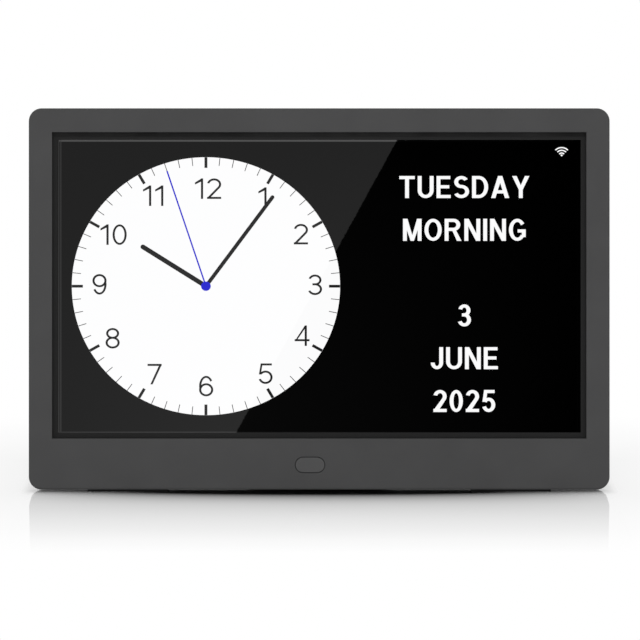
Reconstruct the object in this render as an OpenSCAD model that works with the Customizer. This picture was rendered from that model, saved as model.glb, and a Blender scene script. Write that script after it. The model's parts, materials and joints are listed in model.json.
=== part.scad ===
// Day clock: a 10.1-inch screen in a moulded case that leans back on a fold-out foot.
//
// Every piece is drawn in the case's own frame: X to the right, Y from the front face backwards
// and Z up, from the middle of the front face's bottom edge. leaning() then tips the finished
// piece back and moves it, so that the rubber feet and the foot's pad stand on Z = 0 and the
// origin is the middle of the whole clock's footprint.

/* [Case] */
// Width of the case
body_w = 247.5; // [224:0.5:272]
// Height of the case
body_h = 162.5; // [147:0.5:180]
// Depth from the front face to the back of the rear cover
case_d = 24; // [23.4:0.2:30]
// Depth of the front frame
frame_d = 8; // [8:0.1:9]
// Wall thickness of the mouldings
wall = 2; // [1.6:0.1:2.2]
// Radius of the case's corners, seen from the front
corner_r = 5.5; // [4:0.5:9]
// Rounding of the front frame's front edge
edge_r = 1; // [0.6:0.1:1.4]
// Step from the front frame's outline in to the rear cover's raised part
ledge = 9; // [8.6:0.2:11]
// Rounding of the raised part's back edge
back_r = 2.5; // [1.5:0.1:3]
// Angle at which the case leans back, in degrees
lean = 7; // [5:0.5:10]

/* [Screen] */
// Plain strip of the front frame at each side of the opening
bezel_side = 9.95; // [9.05:0.05:11]
// Plain strip of the front frame above the opening
bezel_top = 10.2; // [9.6:0.2:12]
// Plain strip of the front frame below the opening
bezel_bottom = 21.8; // [20:0.1:24]
// Dark rim in sight at each side of the picture
rim_side = 2.3; // [1:0.1:3]
// Dark rim in sight above the picture
rim_top = 3.2; // [1.6:0.1:3.6]
// Dark rim in sight below the picture
rim_bottom = 2.5; // [1.4:0.1:3]
// Black strip of the picture above the dial, and below it
dial_margin = 7.4; // [6:0.1:14]
// Width of the dial over its height: the picture is stretched to fill the panel
dial_stretch = 1.04; // [1:0.01:1.06]
// Black strip of the picture to the left of the dial
dial_left = 6; // [4:0.1:9]

/* [Front button] */
// Width of the button's opening
button_w = 12.9; // [11:0.1:15]
// Height of the button's opening
button_h = 6.9; // [6:0.1:7.6]
// Distance of the button from the middle of the case
button_x = -3.9; // [-8:0.1:0]
// Height of the button's centre above the case's bottom edge
button_z = 10.6; // [9.6:0.1:11.6]

/* [Back] */
// Radius of the function keys
key_r = 3.4; // [2.8:0.1:3.8]
// Spacing of the function keys
key_pitch = 11; // [10.6:0.1:12]
// Width of the recess for the fold-out foot
stand_recess_w = 62; // [52:1:66]
// Length of the foot from its hinge to the middle of its pad
stand_l = 58; // [50:1:62]
// Thickness of the foot
stand_t = 4.6; // [4:0.1:5]
// Radius of the foot's hinge barrel
barrel_r = 2.9; // [2.7:0.1:3]
// Radius of the steel hinge pin
pin_r = 1.25; // [1:0.05:1.3]
// Width of the main board
board_w = 72; // [66:1:78]

/* [Hidden] */

round_fn = 64;
fine_fn = 128;
lead_fn = 24;
cut = 1;                  // how far a cutting shape runs past the surface it cuts

// Clearances
moving_gap = 0.3;         // between pieces that move against each other
press_gap = 0.1;          // between pieces that are pressed together
pin_gap = 0.05;           // radial play of the hinge pin in the foot's barrel
hole_gap = 0.2;           // radial play of a screw in a through hole

// Front frame
lip_t = 1.6;
rib_t = 1.6;
top_rib_xs = [-70, -30, 30, 70];
low_rib_xs = [-80, -20, 50, 80];
inner_x = body_w / 2 - wall;
open_w = body_w - 2 * bezel_side;
open_h = body_h - bezel_top - bezel_bottom;
view_w = open_w - 2 * rim_side;
view_h = open_h - rim_top - rim_bottom;
view_z0 = bezel_bottom + rim_bottom;
view_zc = view_z0 + view_h / 2;

// Rubber feet under the front frame
foot_pocket = 0.5;
foot_min = 0.3;
foot_front_y = 2.5;
foot_rear_y = 7;
foot_l = 34;
foot_inset = 42;
foot_x = body_w / 2 - foot_inset;
lift = foot_rear_y * sin(lean) + foot_min * cos(lean);

// Screen module, front to back
gasket_t = 0.4;
gasket_w = 2.2;
sheet_t = 0.3;
film_t = 0.2;
film_edge = 1.5;
cell_t = 1.1;
guide_t = 2.2;
module_side = 6;          // from the picture out to the module's sides
module_top = 4;
module_bottom = 7.4;
module_w = view_w + 2 * module_side;
module_z0 = view_z0 - module_bottom;
module_z1 = view_z0 + view_h + module_top;
module_h = module_z1 - module_z0;
module_zc = (module_z0 + module_z1) / 2;
module_y0 = lip_t + gasket_t;
film_y0 = module_y0 + sheet_t;
cell_y0 = film_y0 + film_t;
guide_y0 = cell_y0 + cell_t;
tray_y = guide_y0 + guide_t;
module_y1 = tray_y + sheet_t;
ink_t = 0.1;              // thickness given to each layer of the picture

// Dial
dial_h = view_h - 2 * dial_margin;
dial_r = dial_h / 2;
dial_x = dial_left + dial_stretch * dial_r - view_w / 2;
clock_minute = 5.95;
clock_hour = 10;
clock_second = 57;
minute_angle = 6 * clock_minute;
hour_angle = 30 * (clock_hour + clock_minute / 60);
second_angle = 6 * clock_second;
tick_gap = 0.05;
hour_tick_w = 1.2;
hour_tick_l = 4.5;
minute_tick_w = 0.3;
minute_tick_l = 3.4;
hour_hand_w = 2;
minute_hand_w = 1.6;
second_hand_w = 0.6;
hour_reach = 0.56;        // length of each hand over the dial's radius
minute_reach = 0.85;
second_reach = 0.94;
hub_r = 2;

// Rear cover
flange_t = 1.6;
flange_y = frame_d - flange_t;
raised_w = body_w - 2 * ledge;
raised_h = body_h - 2 * ledge;
raised_r = 6;
in_x = raised_w / 2 - wall;
in_z0 = ledge + wall;
in_z1 = body_h - ledge - wall;
back_y = case_d - wall;   // inner side of the back wall
root = wall / 2;          // how deep a post or rib is rooted in the wall that carries it
post_r = 2.6;

// Screws, all of one thread
screw_r = 1.2;
screw_head_r = 2.2;
screw_head_t = 1.1;
screw_grip = 5;
boss_r = 2.7;
boss_gap = 0.2;
boss_floor = 0.6;
screw_inset = wall + boss_r + boss_gap;
top_screw_inset = 17.75;
low_screw_inset = 7.75;
mid_screw_x = 38;
screw_places = concat(
    [for (s = [-1:1]) [s * (in_x - top_screw_inset), body_h - screw_inset]],
    [for (s = [-1, 1]) [s * (in_x - low_screw_inset), screw_inset]],
    [for (s = [-1, 1]) [s * mid_screw_x, screw_inset]]
);

// Fold-out foot
stand_gap = 0.5;
stand_tip = 4;            // from the middle of the pad to the foot's end
stand_corner = 4;
stand_side_rib = 4;
stand_rib = 3;
stand_cross_rib = 2;
stand_pocket_y0 = 7;
stand_pocket_inset = 5;
finger_r = 9;
finger_depth = 1.6;
pad_w = 16;
pad_inset = 3;
pad_back = 3;             // from the middle of the pad to its edge on the hinge's side
pad_front = 2;
pad_drop = 0.9;
hinge_y = case_d - barrel_r - moving_gap;
hinge_z = in_z0 + stand_gap + barrel_r;
recess_y = hinge_y - barrel_r - stand_gap;
stand_w = stand_recess_w - 2 * stand_gap;
pad_reach = stand_t / 2 + pad_drop;
hinge_height = lift - hinge_y * sin(lean) + hinge_z * cos(lean);
stand_slope = asin(hinge_height / norm([stand_l, pad_reach])) - atan(pad_reach / stand_l);
stand_drop = stand_slope - lean;
stand_end = stand_l + stand_tip;
stop_l = 1.4;
stop_x = 20;
stop_w = 4;
footprint = hinge_y * cos(lean) + hinge_z * sin(lean) + stand_end * cos(stand_slope)
    + stand_t / 2 * sin(stand_slope);
recess_end_gap = 1;
recess_z1 = hinge_z + stand_end + recess_end_gap;
scoop_r = 10;
lug_l = 5;
lug_wall = 1.6;
pin_l = stand_recess_w + 2 * lug_l;

// Function keys on the back
key_count = 7;
key_inset = 17.75;
key_drop = 9.5;
key_x0 = key_inset - in_x;
key_z = in_z1 - key_drop;
key_stand_out = 0.8;
key_flange_t = 1.1;
key_flange_w = 1.2;
key_post_r = 1.4;
key_flange_y = back_y - moving_gap - key_flange_t;
switch_s = 6;
switch_h = 3;
stem_r = 1.1;
stem_out = 0.5;           // how far a stem stands out of its switch
stem_in = 0.4;
key_stem_y = key_flange_y - 1;          // where a key's post meets its switch stem
key_body_y = key_stem_y - stem_out;     // back face of the switch bodies
key_board_y = key_body_y - switch_h;    // back face of their board
key_board_h = 12;
key_board_end = 11;
key_screw_x = 7.5;
pcb_t = 1;

// Front key, front to back
button_flange_t = 0.8;
button_flange_w = button_w + 1.6;
button_flange_h = button_h + 0.6;
button_flange_y = lip_t + moving_gap;
button_post_r = 1.5;
front_stem_y = 3.9;
front_body_y = front_stem_y + stem_out;
front_switch_h = 0.9;
front_switch_s = 5.2;
front_board_y = front_body_y + front_switch_h;
front_board_t = 0.8;
front_board_w = 24;
front_board_h = 7.4;
front_pin_x = 10;
front_pin_r = 0.8;
front_post_r = 1.3;

// Main board and what stands on it
board_t = 1.6;
board_y = 12;
board_back = board_y + board_t;
board_gap = 0.3;
board_x1 = in_x - board_gap;
board_x0 = board_x1 - board_w;
board_z0 = 50;
board_h = 66;
board_hole_inset = 4;
board_hole_x1 = 30;
board_holes = [
    for (x = [board_x0 + board_hole_inset, board_x1 - board_hole_x1], z = [board_z0, board_z0 + board_h])
        [x, z == board_z0 ? z + board_hole_inset : z - board_hole_inset]
];
// Chips as left edge, bottom edge, width, height and thickness, from the board's lower left corner
chips = [[26, 13, 13, 13, 1.4], [29.5, 33, 9, 10, 1], [9, 8, 8, 6, 1.2], [18, 13, 7, 7, 3.2]];
radio_chip = [27.5, 46, 9.6, 13, 2.2];
// Capacitors as distance from the board's left edge and from its bottom edge
left_cans = [[6, 16], [24, 6]];
// Capacitors as distance from the board's right edge and from its bottom edge
right_cans = [[23, 6], [20, 26]];
can_r = 2.5;
can_h = 5.4;
pin_row_x = 26;           // row of small parts, from the board's right edge
pin_row_z = 16;
pin_row_pitch = 3;
pin_row_count = 6;
pin_row = [1.6, 0.9, 0.6];
cell_r = 10;
cell_h = 3.2;
holder_wall = 1.6;
holder_h = 3.4;
holder_floor = 0.8;
holder_slot = 3;          // half width of the slot that the cell is pushed out through
coin_x = board_x0 + 17;
coin_z = board_z0 + 36;

// Ports at the side, each as its depth, its height from the board and its width along the side
port_gap = 0.1;
port_x1 = in_x - port_gap;
port_wall = 0.5;
dc_z = board_z0 + 8;
dc_size = [14, 6.6, 9];
dc_bore_r = 2.8;
dc_bore_l = 10;
dc_pin_r = 0.7;
dc_hole_r = 3.7;
audio_z = board_z0 + 19;
audio_size = [12, 5, 6];
audio_bore_r = 1.8;
audio_bore_l = 10;
audio_hole_r = 2.4;
usb_z = board_z0 + 31;
usb_size = [14, 6.2, 13.2];
usb_floor = 2;
usb_tongue = [11.5, 1.8, 11];
usb_tongue_inset = 1;
card_z = board_z0 + 52;
card_size = [26, 3.4, 25.6];
card_floor = 2;
side_hole_gap = 0.3;

// Speakers
speaker_x = in_x - 26.75;
speaker_z = 27;
speaker_w = 32;
speaker_h = 22;
speaker_corner = 4;
speaker_plate_t = 1.4;
speaker_foam_t = 0.8;
speaker_foam_r = 10.2;
speaker_plate_y = back_y - speaker_foam_t - speaker_plate_t;
basket_r = 9.6;
basket_in_r = 9;
basket_d = 4;
basket_floor = 1;
magnet_r = 7;
magnet_d = 3;
cone_r = 8.9;
cone_in_r = 4;
cone_d = 3;
cone_t = 0.4;
coil_r = 4.6;
coil_y = speaker_plate_y - 2.2;
coil_t = 1;
fence_gap = 0.2;
fence_t = 1.3;

// Speaker grilles
grille_steps = 3;
grille_pitch = 3.4;
grille_slot = 1.6;
grille_h = 16;
grille_fall = 1.6;        // how much each slot is shorter than its inner neighbour

// Vents beside the keys
vent_x0 = 14;
vent_pitch = 5.5;
vent_slot = 2;
vent_h = 12;
vent_inset = 10.75;
vent_last = floor((in_x - vent_inset - vent_x0) / vent_pitch);

// Wall keyholes
keyhole_x = 60;
keyhole_drop = 30.5;
keyhole_z = in_z1 - keyhole_drop;
keyhole_r = 4;
keyhole_slot_r = 2;
keyhole_rise = 8;
keyhole_depth = 6;

// Leads
thin_lead_r = 0.5;
lead_r = 0.65;
bend = 1.2;               // radius of the ball at a bend over its lead's radius
lead_y = board_back + 1;  // depth of a lead that runs along the board's back
lead_front_y = board_y - 1;

// Antenna on the inner side of the cover's top
antenna_w = 42;
antenna_y0 = 11;
antenna_d = 7;
antenna_t = 0.3;

case_color = [0.28, 0.28, 0.28];
cover_color = [0.2, 0.2, 0.2];
key_color = [0.12, 0.12, 0.12];
rubber_color = [0.08, 0.08, 0.08];
steel_color = [0.7, 0.7, 0.72];
board_color = [0.05, 0.35, 0.15];
chip_color = [0.1, 0.1, 0.11];

// ---------------------------------------------------------------- helpers

// Tips a piece back and stands it on its feet.
module leaning() translate([0, -footprint / 2, lift]) rotate([-lean, 0, 0]) children();

// Extrudes a shape drawn in X and Z from depth y0 to depth y1.
module slab(y0, y1) translate([0, y1, 0]) rotate([90, 0, 0]) linear_extrude(y1 - y0) children();

module block(x0, x1, y0, y1, z0, z1) translate([x0, y0, z0]) cube([x1 - x0, y1 - y0, z1 - z0]);

// A disc or post along Y.
module disc(x, z, y0, y1, r) translate([x, y1, z]) rotate([90, 0, 0])
    cylinder(r = r, h = y1 - y0, $fn = round_fn);

// A rod along X.
module rod(x0, x1, y, z, r) translate([x0, y, z]) rotate([0, 90, 0])
    cylinder(r = r, h = x1 - x0, $fn = round_fn);

module round_rect(w, h, r) {
    square([w - 2 * r, h], center = true);
    square([w, h - 2 * r], center = true);
    for (x = [-1, 1], z = [-1, 1])
        translate([x * (w / 2 - r), z * (h / 2 - r)]) circle(r = r, $fn = round_fn);
}

module pill(w, h) {
    square([w - h, h], center = true);
    for (x = [-1, 1]) translate([x * (w - h) / 2, 0]) circle(r = h / 2, $fn = round_fn);
}

// A slot that stands upright.
module upright_slot(y0, y1, x, z, w, h) slab(y0, y1) translate([x, z]) rotate(90) pill(h, w);

// A rectangle of w by h with a border of t left of it.
module border(w, h, t) difference() {
    square([w, h], center = true);
    square([w - 2 * t, h - 2 * t], center = true);
}

// Runs a profile round a rounded rectangle; the profile's X is measured out from the corner centres.
module sweep_round(w, h, r) {
    places = [[1, 1, h], [-1, 1, w], [-1, -1, h], [1, -1, w]];
    for (k = [0:3])
        translate([places[k][0] * (w / 2 - r), places[k][1] * (h / 2 - r), 0]) rotate([0, 0, 90 * k]) {
            rotate_extrude(angle = 90, $fn = round_fn) children();
            rotate([90, 0, 0]) linear_extrude(places[k][2] - 2 * r) children();
        }
}

// Cuts the rounding off the front edge of a rounded plate whose front face is at Y = 0.
module edge_cut(w, h, r, e) translate([0, 0, body_h / 2]) rotate([90, 0, 0])
    sweep_round(w, h, r) difference() {
        translate([r - e, -e]) square([e + cut, e + cut]);
        translate([r - e, -e]) circle(r = e, $fn = round_fn);
    }

// A round lead with flat ends through a list of points, with a slightly thicker ball at each bend.
module lead(points, r) {
    for (i = [1:len(points) - 2]) translate(points[i]) sphere(r = r * bend, $fn = lead_fn);
    for (i = [1:len(points) - 1]) {
        run = points[i] - points[i - 1];
        translate(points[i - 1]) rotate([0, acos(run[2] / norm(run)), atan2(run[1], run[0])])
            cylinder(r = r, h = norm(run), $fn = lead_fn);
    }
}

// A screw along Y: its head's underside is at depth y, its shank runs on for the length l.
// The side is 1 for a head at the back and -1 for a head at the front.
module screw(x, z, y, l, side) {
    disc(x, z, side > 0 ? y : y - screw_head_t, side > 0 ? y + screw_head_t : y, screw_head_r);
    disc(x, z, side > 0 ? y - l : y, side > 0 ? y : y + l, screw_r);
}

// ---------------------------------------------------------------- case

module front_bezel() color(case_color) leaning() difference() {
    union() {
        difference() {
            slab(0, frame_d) translate([0, body_h / 2]) round_rect(body_w, body_h, corner_r);
            slab(lip_t, frame_d + cut) translate([0, body_h / 2])
                round_rect(body_w - 2 * wall, body_h - 2 * wall, corner_r - wall);
        }
        for (p = screw_places) disc(p[0], p[1], lip_t / 2, flange_y, boss_r);
        screen_ribs();
        button_board_posts();
    }
    edge_cut(body_w, body_h, corner_r, edge_r);
    slab(-cut, lip_t + cut) translate([0, bezel_bottom + open_h / 2]) square([open_w, open_h], center = true);
    slab(-cut, lip_t + cut) translate([button_x, button_z]) pill(button_w, button_h);
    for (p = screw_places) disc(p[0], p[1], lip_t + boss_floor, flange_y + cut, screw_r);
    for (s = [-1, 1])
        block(s * foot_x - foot_l / 2, s * foot_x + foot_l / 2, foot_front_y, foot_rear_y, -cut, foot_pocket);
}

// Ribs that hold the screen module at its sides, from above and from below.
module screen_ribs() {
    side_inset = 14;
    for (s = [-1, 1], z = [module_z0 + side_inset, module_zc, module_z1 - side_inset])
        block(
            s > 0 ? module_w / 2 : -inner_x, s > 0 ? inner_x : -module_w / 2,
            lip_t / 2, module_y1, z - rib_t / 2, z + rib_t / 2
        );
    for (x = top_rib_xs)
        block(x - rib_t / 2, x + rib_t / 2, lip_t / 2, module_y1, module_z1, body_h - root);
    for (x = low_rib_xs)
        block(x - rib_t / 2, x + rib_t / 2, lip_t / 2, module_y1, root, module_z0);
}

// Two posts with pins through the front key's board.
module button_board_posts() for (s = [-1, 1]) {
    x = button_x + s * front_pin_x;
    disc(x, button_z, lip_t / 2, front_board_y, front_post_r);
    disc(x, button_z, front_board_y, front_board_y + front_board_t + hole_gap, front_pin_r);
}

// Wedges whose undersides are level once the case leans back.
module bottom_feet() color(rubber_color) leaning() for (s = [-1, 1])
    translate([s * foot_x - foot_l / 2, 0, 0]) rotate([90, 0, 90]) linear_extrude(foot_l) polygon([
        [foot_front_y, foot_pocket],
        [foot_front_y, foot_front_y * tan(lean) - lift / cos(lean)],
        [foot_rear_y, foot_rear_y * tan(lean) - lift / cos(lean)],
        [foot_rear_y, foot_pocket]
    ]);

module rear_cover() color(cover_color) leaning() difference() {
    union() {
        cover_shell();
        recess_walls();
        keyhole_boxes();
        for (p = board_holes) disc(p[0], p[1], board_back, back_y + root, post_r);
        for (x = key_post_xs()) disc(x, key_z, key_board_y, back_y + root, post_r);
        speaker_fences();
    }
    recess_space();
    back_cuts();
    port_cuts();
    for (p = screw_places) disc(p[0], p[1], flange_y - cut, frame_d + cut, screw_r + hole_gap);
    for (p = board_holes) disc(p[0], p[1], board_back - cut, back_y - boss_floor, screw_r);
    for (x = key_post_xs()) disc(x, key_z, key_board_y - cut, back_y - boss_floor, screw_r);
    hinge_bore();
}

function key_x(i) = key_x0 + key_pitch * i;
function key_post_xs() = [key_x(0) - key_screw_x, key_x(key_count - 1) + key_screw_x];

// Flange that closes the front frame, and the raised box behind it.
module cover_shell() difference() {
    union() {
        slab(flange_y, frame_d) translate([0, body_h / 2])
            round_rect(body_w - 2 * wall - 2 * press_gap, body_h - 2 * wall - 2 * press_gap, corner_r - wall);
        difference() {
            slab(flange_y, case_d) translate([0, body_h / 2]) round_rect(raised_w, raised_h, raised_r);
            translate([0, case_d, 0]) mirror([0, 1, 0]) edge_cut(raised_w, raised_h, raised_r, back_r);
        }
    }
    slab(flange_y - cut, back_y) translate([0, body_h / 2])
        round_rect(raised_w - 2 * wall, raised_h - 2 * wall, raised_r - wall);
}

// Tub round the recess that takes the folded foot.
module recess_walls() {
    half_w = stand_recess_w / 2;
    block(-half_w - wall, half_w + wall, recess_y - wall, back_y + root, in_z0 - root, recess_z1 + wall);
    disc(0, recess_z1, recess_y - wall, back_y + root, scoop_r + wall);
    rod(half_w, half_w + lug_l, hinge_y, hinge_z, pin_r + lug_wall);
    rod(-half_w - lug_l, -half_w, hinge_y, hinge_z, pin_r + lug_wall);
}

module recess_space() difference() {
    union() {
        block(-stand_recess_w / 2, stand_recess_w / 2, recess_y, case_d + cut, in_z0, recess_z1);
        disc(0, recess_z1, recess_y, case_d + cut, scoop_r);
    }
    stop_ribs();
}

// Ribs in the recess's mouth that stop the foot when it is open.
module stop_ribs() for (s = [-1, 1])
    block(
        s * stop_x - stop_w / 2, s * stop_x + stop_w / 2, case_d - stop_l, case_d, in_z0 - cut,
        hinge_z - stand_t / 2 / cos(stand_drop) - (case_d - hinge_y) * tan(stand_drop) - moving_gap
    );

module hinge_bore() rod(-pin_l / 2, pin_l / 2, hinge_y, hinge_z, pin_r);

// Boxes behind the wall keyholes, which keep a wall screw's head off the boards.
module keyhole_boxes() for (s = [-1, 1])
    block(
        s * keyhole_x - keyhole_r - wall, s * keyhole_x + keyhole_r + wall,
        back_y - keyhole_depth, back_y + root,
        keyhole_z - keyhole_r - wall, keyhole_z + keyhole_rise + keyhole_r
    );

module back_cuts() {
    for (s = [-1, 1]) {
        keyhole_cut(s * keyhole_x);
        speaker_grille(s * speaker_x);
    }
    for (i = [0:key_count - 1]) disc(key_x(i), key_z, back_y - cut, case_d + cut, key_r + moving_gap);
    for (i = [0:vent_last])
        upright_slot(back_y - cut, case_d + cut, vent_x0 + vent_pitch * i, key_z, vent_slot, vent_h);
}

// A keyhole through the back wall, and the space for the screw's head behind it.
module keyhole_cut(x) {
    disc(x, keyhole_z, back_y - root, case_d + cut, keyhole_r);
    block(
        x - keyhole_slot_r, x + keyhole_slot_r, back_y - root, case_d + cut, keyhole_z, keyhole_z + keyhole_rise
    );
    disc(x, keyhole_z + keyhole_rise, back_y - root, case_d + cut, keyhole_slot_r);
    block(
        x - keyhole_r, x + keyhole_r, back_y - keyhole_depth + root, back_y,
        keyhole_z - keyhole_r, keyhole_z + keyhole_rise + keyhole_r - wall
    );
}

module speaker_grille(x) for (i = [-grille_steps:grille_steps])
    upright_slot(
        back_y - cut, case_d + cut, x + grille_pitch * i, speaker_z,
        grille_slot, grille_h - abs(i) * grille_fall
    );

// Low fences round the speakers.
module speaker_fences() for (s = [-1, 1])
    slab(speaker_plate_y, back_y + root) translate([s * speaker_x, speaker_z])
        border(speaker_w + 2 * (fence_gap + fence_t), speaker_h + 2 * (fence_gap + fence_t), fence_t);

module port_cuts() {
    x0 = in_x - cut;
    x1 = raised_w / 2 + cut;
    rod(x0, x1, board_back + dc_size[1] / 2, dc_z, dc_hole_r);
    rod(x0, x1, board_back + audio_size[1] / 2, audio_z, audio_hole_r);
    side_hole(x0, x1, usb_size, usb_z);
    side_hole(x0, x1, card_size, card_z);
}

// A square hole in the cover's side for a port that stands on the board.
module side_hole(x0, x1, size, z) block(
    x0, x1, board_back, board_back + size[1] + side_hole_gap,
    z - size[2] / 2 - side_hole_gap, z + size[2] / 2 + side_hole_gap
);

module case_screws() color(steel_color) leaning()
    for (p = screw_places) screw(p[0], p[1], frame_d, screw_grip, 1);

// ---------------------------------------------------------------- screen module

module lcd_gasket() color(rubber_color) leaning() slab(lip_t, module_y0)
    translate([0, module_zc]) border(module_w - 2 * sheet_t, module_h - 2 * sheet_t, gasket_w);

module lcd_frame() color([0.11, 0.11, 0.11]) leaning() {
    slab(module_y0, film_y0) difference() {
        translate([0, module_zc]) square([module_w, module_h], center = true);
        translate([0, view_zc]) square([view_w, view_h], center = true);
    }
    slab(film_y0, module_y1 - ink_t) translate([0, module_zc]) border(module_w, module_h, sheet_t);
}

module lcd_polarizer() color([0.03, 0.03, 0.04]) leaning() slab(film_y0, cell_y0)
    translate([0, view_zc]) square([view_w + 2 * film_edge, view_h + 2 * film_edge], center = true);

// Outline of the layers inside the module's frame and tray.
module inner_plate() translate([0, module_zc])
    square([module_w - 4 * sheet_t, module_h - 4 * sheet_t], center = true);

module lcd_cell() color([0.25, 0.3, 0.32]) leaning() slab(cell_y0, guide_y0) inner_plate();

module lcd_light_guide() color([0.9, 0.9, 0.88]) leaning() slab(guide_y0, tray_y) inner_plate();

module lcd_tray() color(steel_color) leaning() {
    slab(tray_y, module_y1) translate([0, module_zc])
        square([module_w - 2 * sheet_t, module_h - 2 * sheet_t], center = true);
    slab(guide_y0, tray_y) translate([0, module_zc])
        border(module_w - 2 * sheet_t, module_h - 2 * sheet_t, sheet_t);
}

// Foam strips between the tray and the rear cover's flange.
module lcd_pads() color(rubber_color) leaning() {
    pad = 2.8;
    inset = 12;
    x = (in_x + module_w / 2) / 2;
    for (s = [-1, 1])
        block(s * x - pad / 2, s * x + pad / 2, module_y1, flange_y, module_z0 + inset, module_z1 - inset);
}

// Board of the screen's drivers on the tray's back, with its row of chips.
module lcd_driver_board() color(board_color) leaning() {
    back = module_y1 + pcb_t;
    inset = 1.5;
    x0 = -60;
    w = 126;
    h = 9;
    chip_x0 = 10;
    chip_pitch = 14;
    chip_count = 7;
    chip_w = 7;
    chip_h = 4;
    chip_t = 1;
    z = module_z0 + inset;
    block(x0, x0 + w, module_y1, back, z, z + h);
    for (i = [0:chip_count - 1]) translate([x0 + chip_x0 + chip_pitch * i, 0, 0])
        block(0, chip_w, back, back + chip_t, z + inset, z + inset + chip_h);
}

// Flat cable from the screen's driver board up to the main board's front side.
module lcd_ribbon() color([0.85, 0.6, 0.3]) leaning() {
    x = board_x0 + 9;
    w = 16;
    t = 0.3;
    grip = 8;
    slant = 0.2;
    y0 = module_y1 + pcb_t;
    z0 = module_z0 + 2.5;
    translate([x, 0, 0]) rotate([90, 0, 90]) linear_extrude(w) polygon([
        [y0, z0],
        [y0, z0 + grip],
        [board_y - t, board_z0 - pcb_t],
        [board_y - t, board_z0 + grip],
        [board_y, board_z0 + grip],
        [board_y, board_z0 - pcb_t - slant],
        [y0 + t, z0 + grip - slant],
        [y0 + t, z0]
    ]);
}

module on_dial() translate([dial_x, view_zc]) scale([dial_stretch, 1]) children();

module screen_dial() color([1, 1, 1]) leaning()
    slab(film_y0 - ink_t, film_y0) on_dial() circle(r = dial_r, $fn = fine_fn);

module screen_marks() color([0.17, 0.17, 0.17]) leaning() slab(film_y0 - 2 * ink_t, film_y0 - ink_t) {
    on_dial() for (i = [0:59]) dial_tick(i);
    on_dial() hand(hour_angle, hour_reach * dial_r, hour_hand_w);
    on_dial() hand(minute_angle, minute_reach * dial_r, minute_hand_w);
}

module dial_tick(i) {
    w = i % 5 == 0 ? hour_tick_w : minute_tick_w;
    l = i % 5 == 0 ? hour_tick_l : minute_tick_l;
    rotate(-6 * i) translate([-w / 2, dial_r - l - tick_gap]) square([w, l]);
}

module hand(angle, length, w) rotate(-angle) {
    translate([-w / 2, 0]) square([w, length]);
    translate([0, length]) circle(r = w / 2, $fn = lead_fn);
}

module screen_second_hand() color([0.1, 0.1, 0.95]) leaning()
    slab(film_y0 - 3 * ink_t, film_y0 - 2 * ink_t) on_dial() {
        rotate(-second_angle) translate([-second_hand_w / 2, 0]) square([second_hand_w, second_reach * dial_r]);
        circle(r = hub_r, $fn = round_fn);
    }

// ---------------------------------------------------------------- boards

module main_board() color(board_color) leaning() difference() {
    block(board_x0, board_x1, board_y, board_back, board_z0, board_z0 + board_h);
    for (p = board_holes) disc(p[0], p[1], board_y - cut, board_back + cut, screw_r + hole_gap);
}

module board_screws() color(steel_color) leaning()
    for (p = board_holes) screw(p[0], p[1], board_y, board_t + screw_grip, -1);

// A chip on the board's back side, as left edge, bottom edge, width, height and thickness.
module chip(c) block(
    board_x0 + c[0], board_x0 + c[0] + c[2], board_back, board_back + c[4],
    board_z0 + c[1], board_z0 + c[1] + c[3]
);

module board_chips() color(chip_color) leaning() {
    for (c = chips) chip(c);
    chip(radio_chip);
    for (p = left_cans) disc(board_x0 + p[0], board_z0 + p[1], board_back, board_back + can_h, can_r);
    for (p = right_cans) disc(board_x1 - p[0], board_z0 + p[1], board_back, board_back + can_h, can_r);
    for (i = [0:pin_row_count - 1])
        chip([board_w - pin_row_x, pin_row_z + pin_row_pitch * i, pin_row[0], pin_row[1], pin_row[2]]);
}

module coin_cell_holder() color([0.15, 0.15, 0.15]) leaning() difference() {
    floor_y = board_back + holder_floor;
    disc(coin_x, coin_z, board_back, board_back + holder_h, cell_r + holder_wall);
    disc(coin_x, coin_z, floor_y, floor_y + holder_h, cell_r + press_gap);
    block(
        coin_x - holder_slot, coin_x + holder_slot, floor_y, floor_y + holder_h,
        coin_z - cell_r - 2 * holder_wall, coin_z
    );
}

module coin_cell() color(steel_color) leaning()
    disc(coin_x, coin_z, board_back + holder_floor, board_back + holder_floor + cell_h, cell_r);

// Body of a port on the board, at height z along the cover's side.
module port_body(size, z) block(
    port_x1 - size[0], port_x1, board_back, board_back + size[1], z - size[2] / 2, z + size[2] / 2
);

// Inside of a sheet-metal port that is open to the side.
module port_space(size, z, floor) block(
    port_x1 - size[0] + floor, port_x1 + cut, board_back + port_wall, board_back + size[1] - port_wall,
    z - size[2] / 2 + port_wall, z + size[2] / 2 - port_wall
);

module dc_jack() color(chip_color) leaning() {
    y = board_back + dc_size[1] / 2;
    difference() {
        port_body(dc_size, dc_z);
        rod(port_x1 - dc_bore_l, port_x1 + cut, y, dc_z, dc_bore_r);
    }
    rod(port_x1 - dc_bore_l - port_wall, port_x1 - port_wall, y, dc_z, dc_pin_r);
}

module audio_jack() color(chip_color) leaning() difference() {
    port_body(audio_size, audio_z);
    rod(port_x1 - audio_bore_l, port_x1 + cut, board_back + audio_size[1] / 2, audio_z, audio_bore_r);
}

module usb_port() color(steel_color) leaning() {
    tongue_y1 = board_back + usb_size[1] - 2 * port_wall;
    difference() {
        port_body(usb_size, usb_z);
        port_space(usb_size, usb_z, usb_floor);
    }
    block(
        port_x1 - usb_tongue_inset - usb_tongue[0], port_x1 - usb_tongue_inset,
        tongue_y1 - usb_tongue[1], tongue_y1, usb_z - usb_tongue[2] / 2, usb_z + usb_tongue[2] / 2
    );
}

module card_slot() color(steel_color) leaning() difference() {
    port_body(card_size, card_z);
    port_space(card_size, card_z, card_floor);
}

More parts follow.
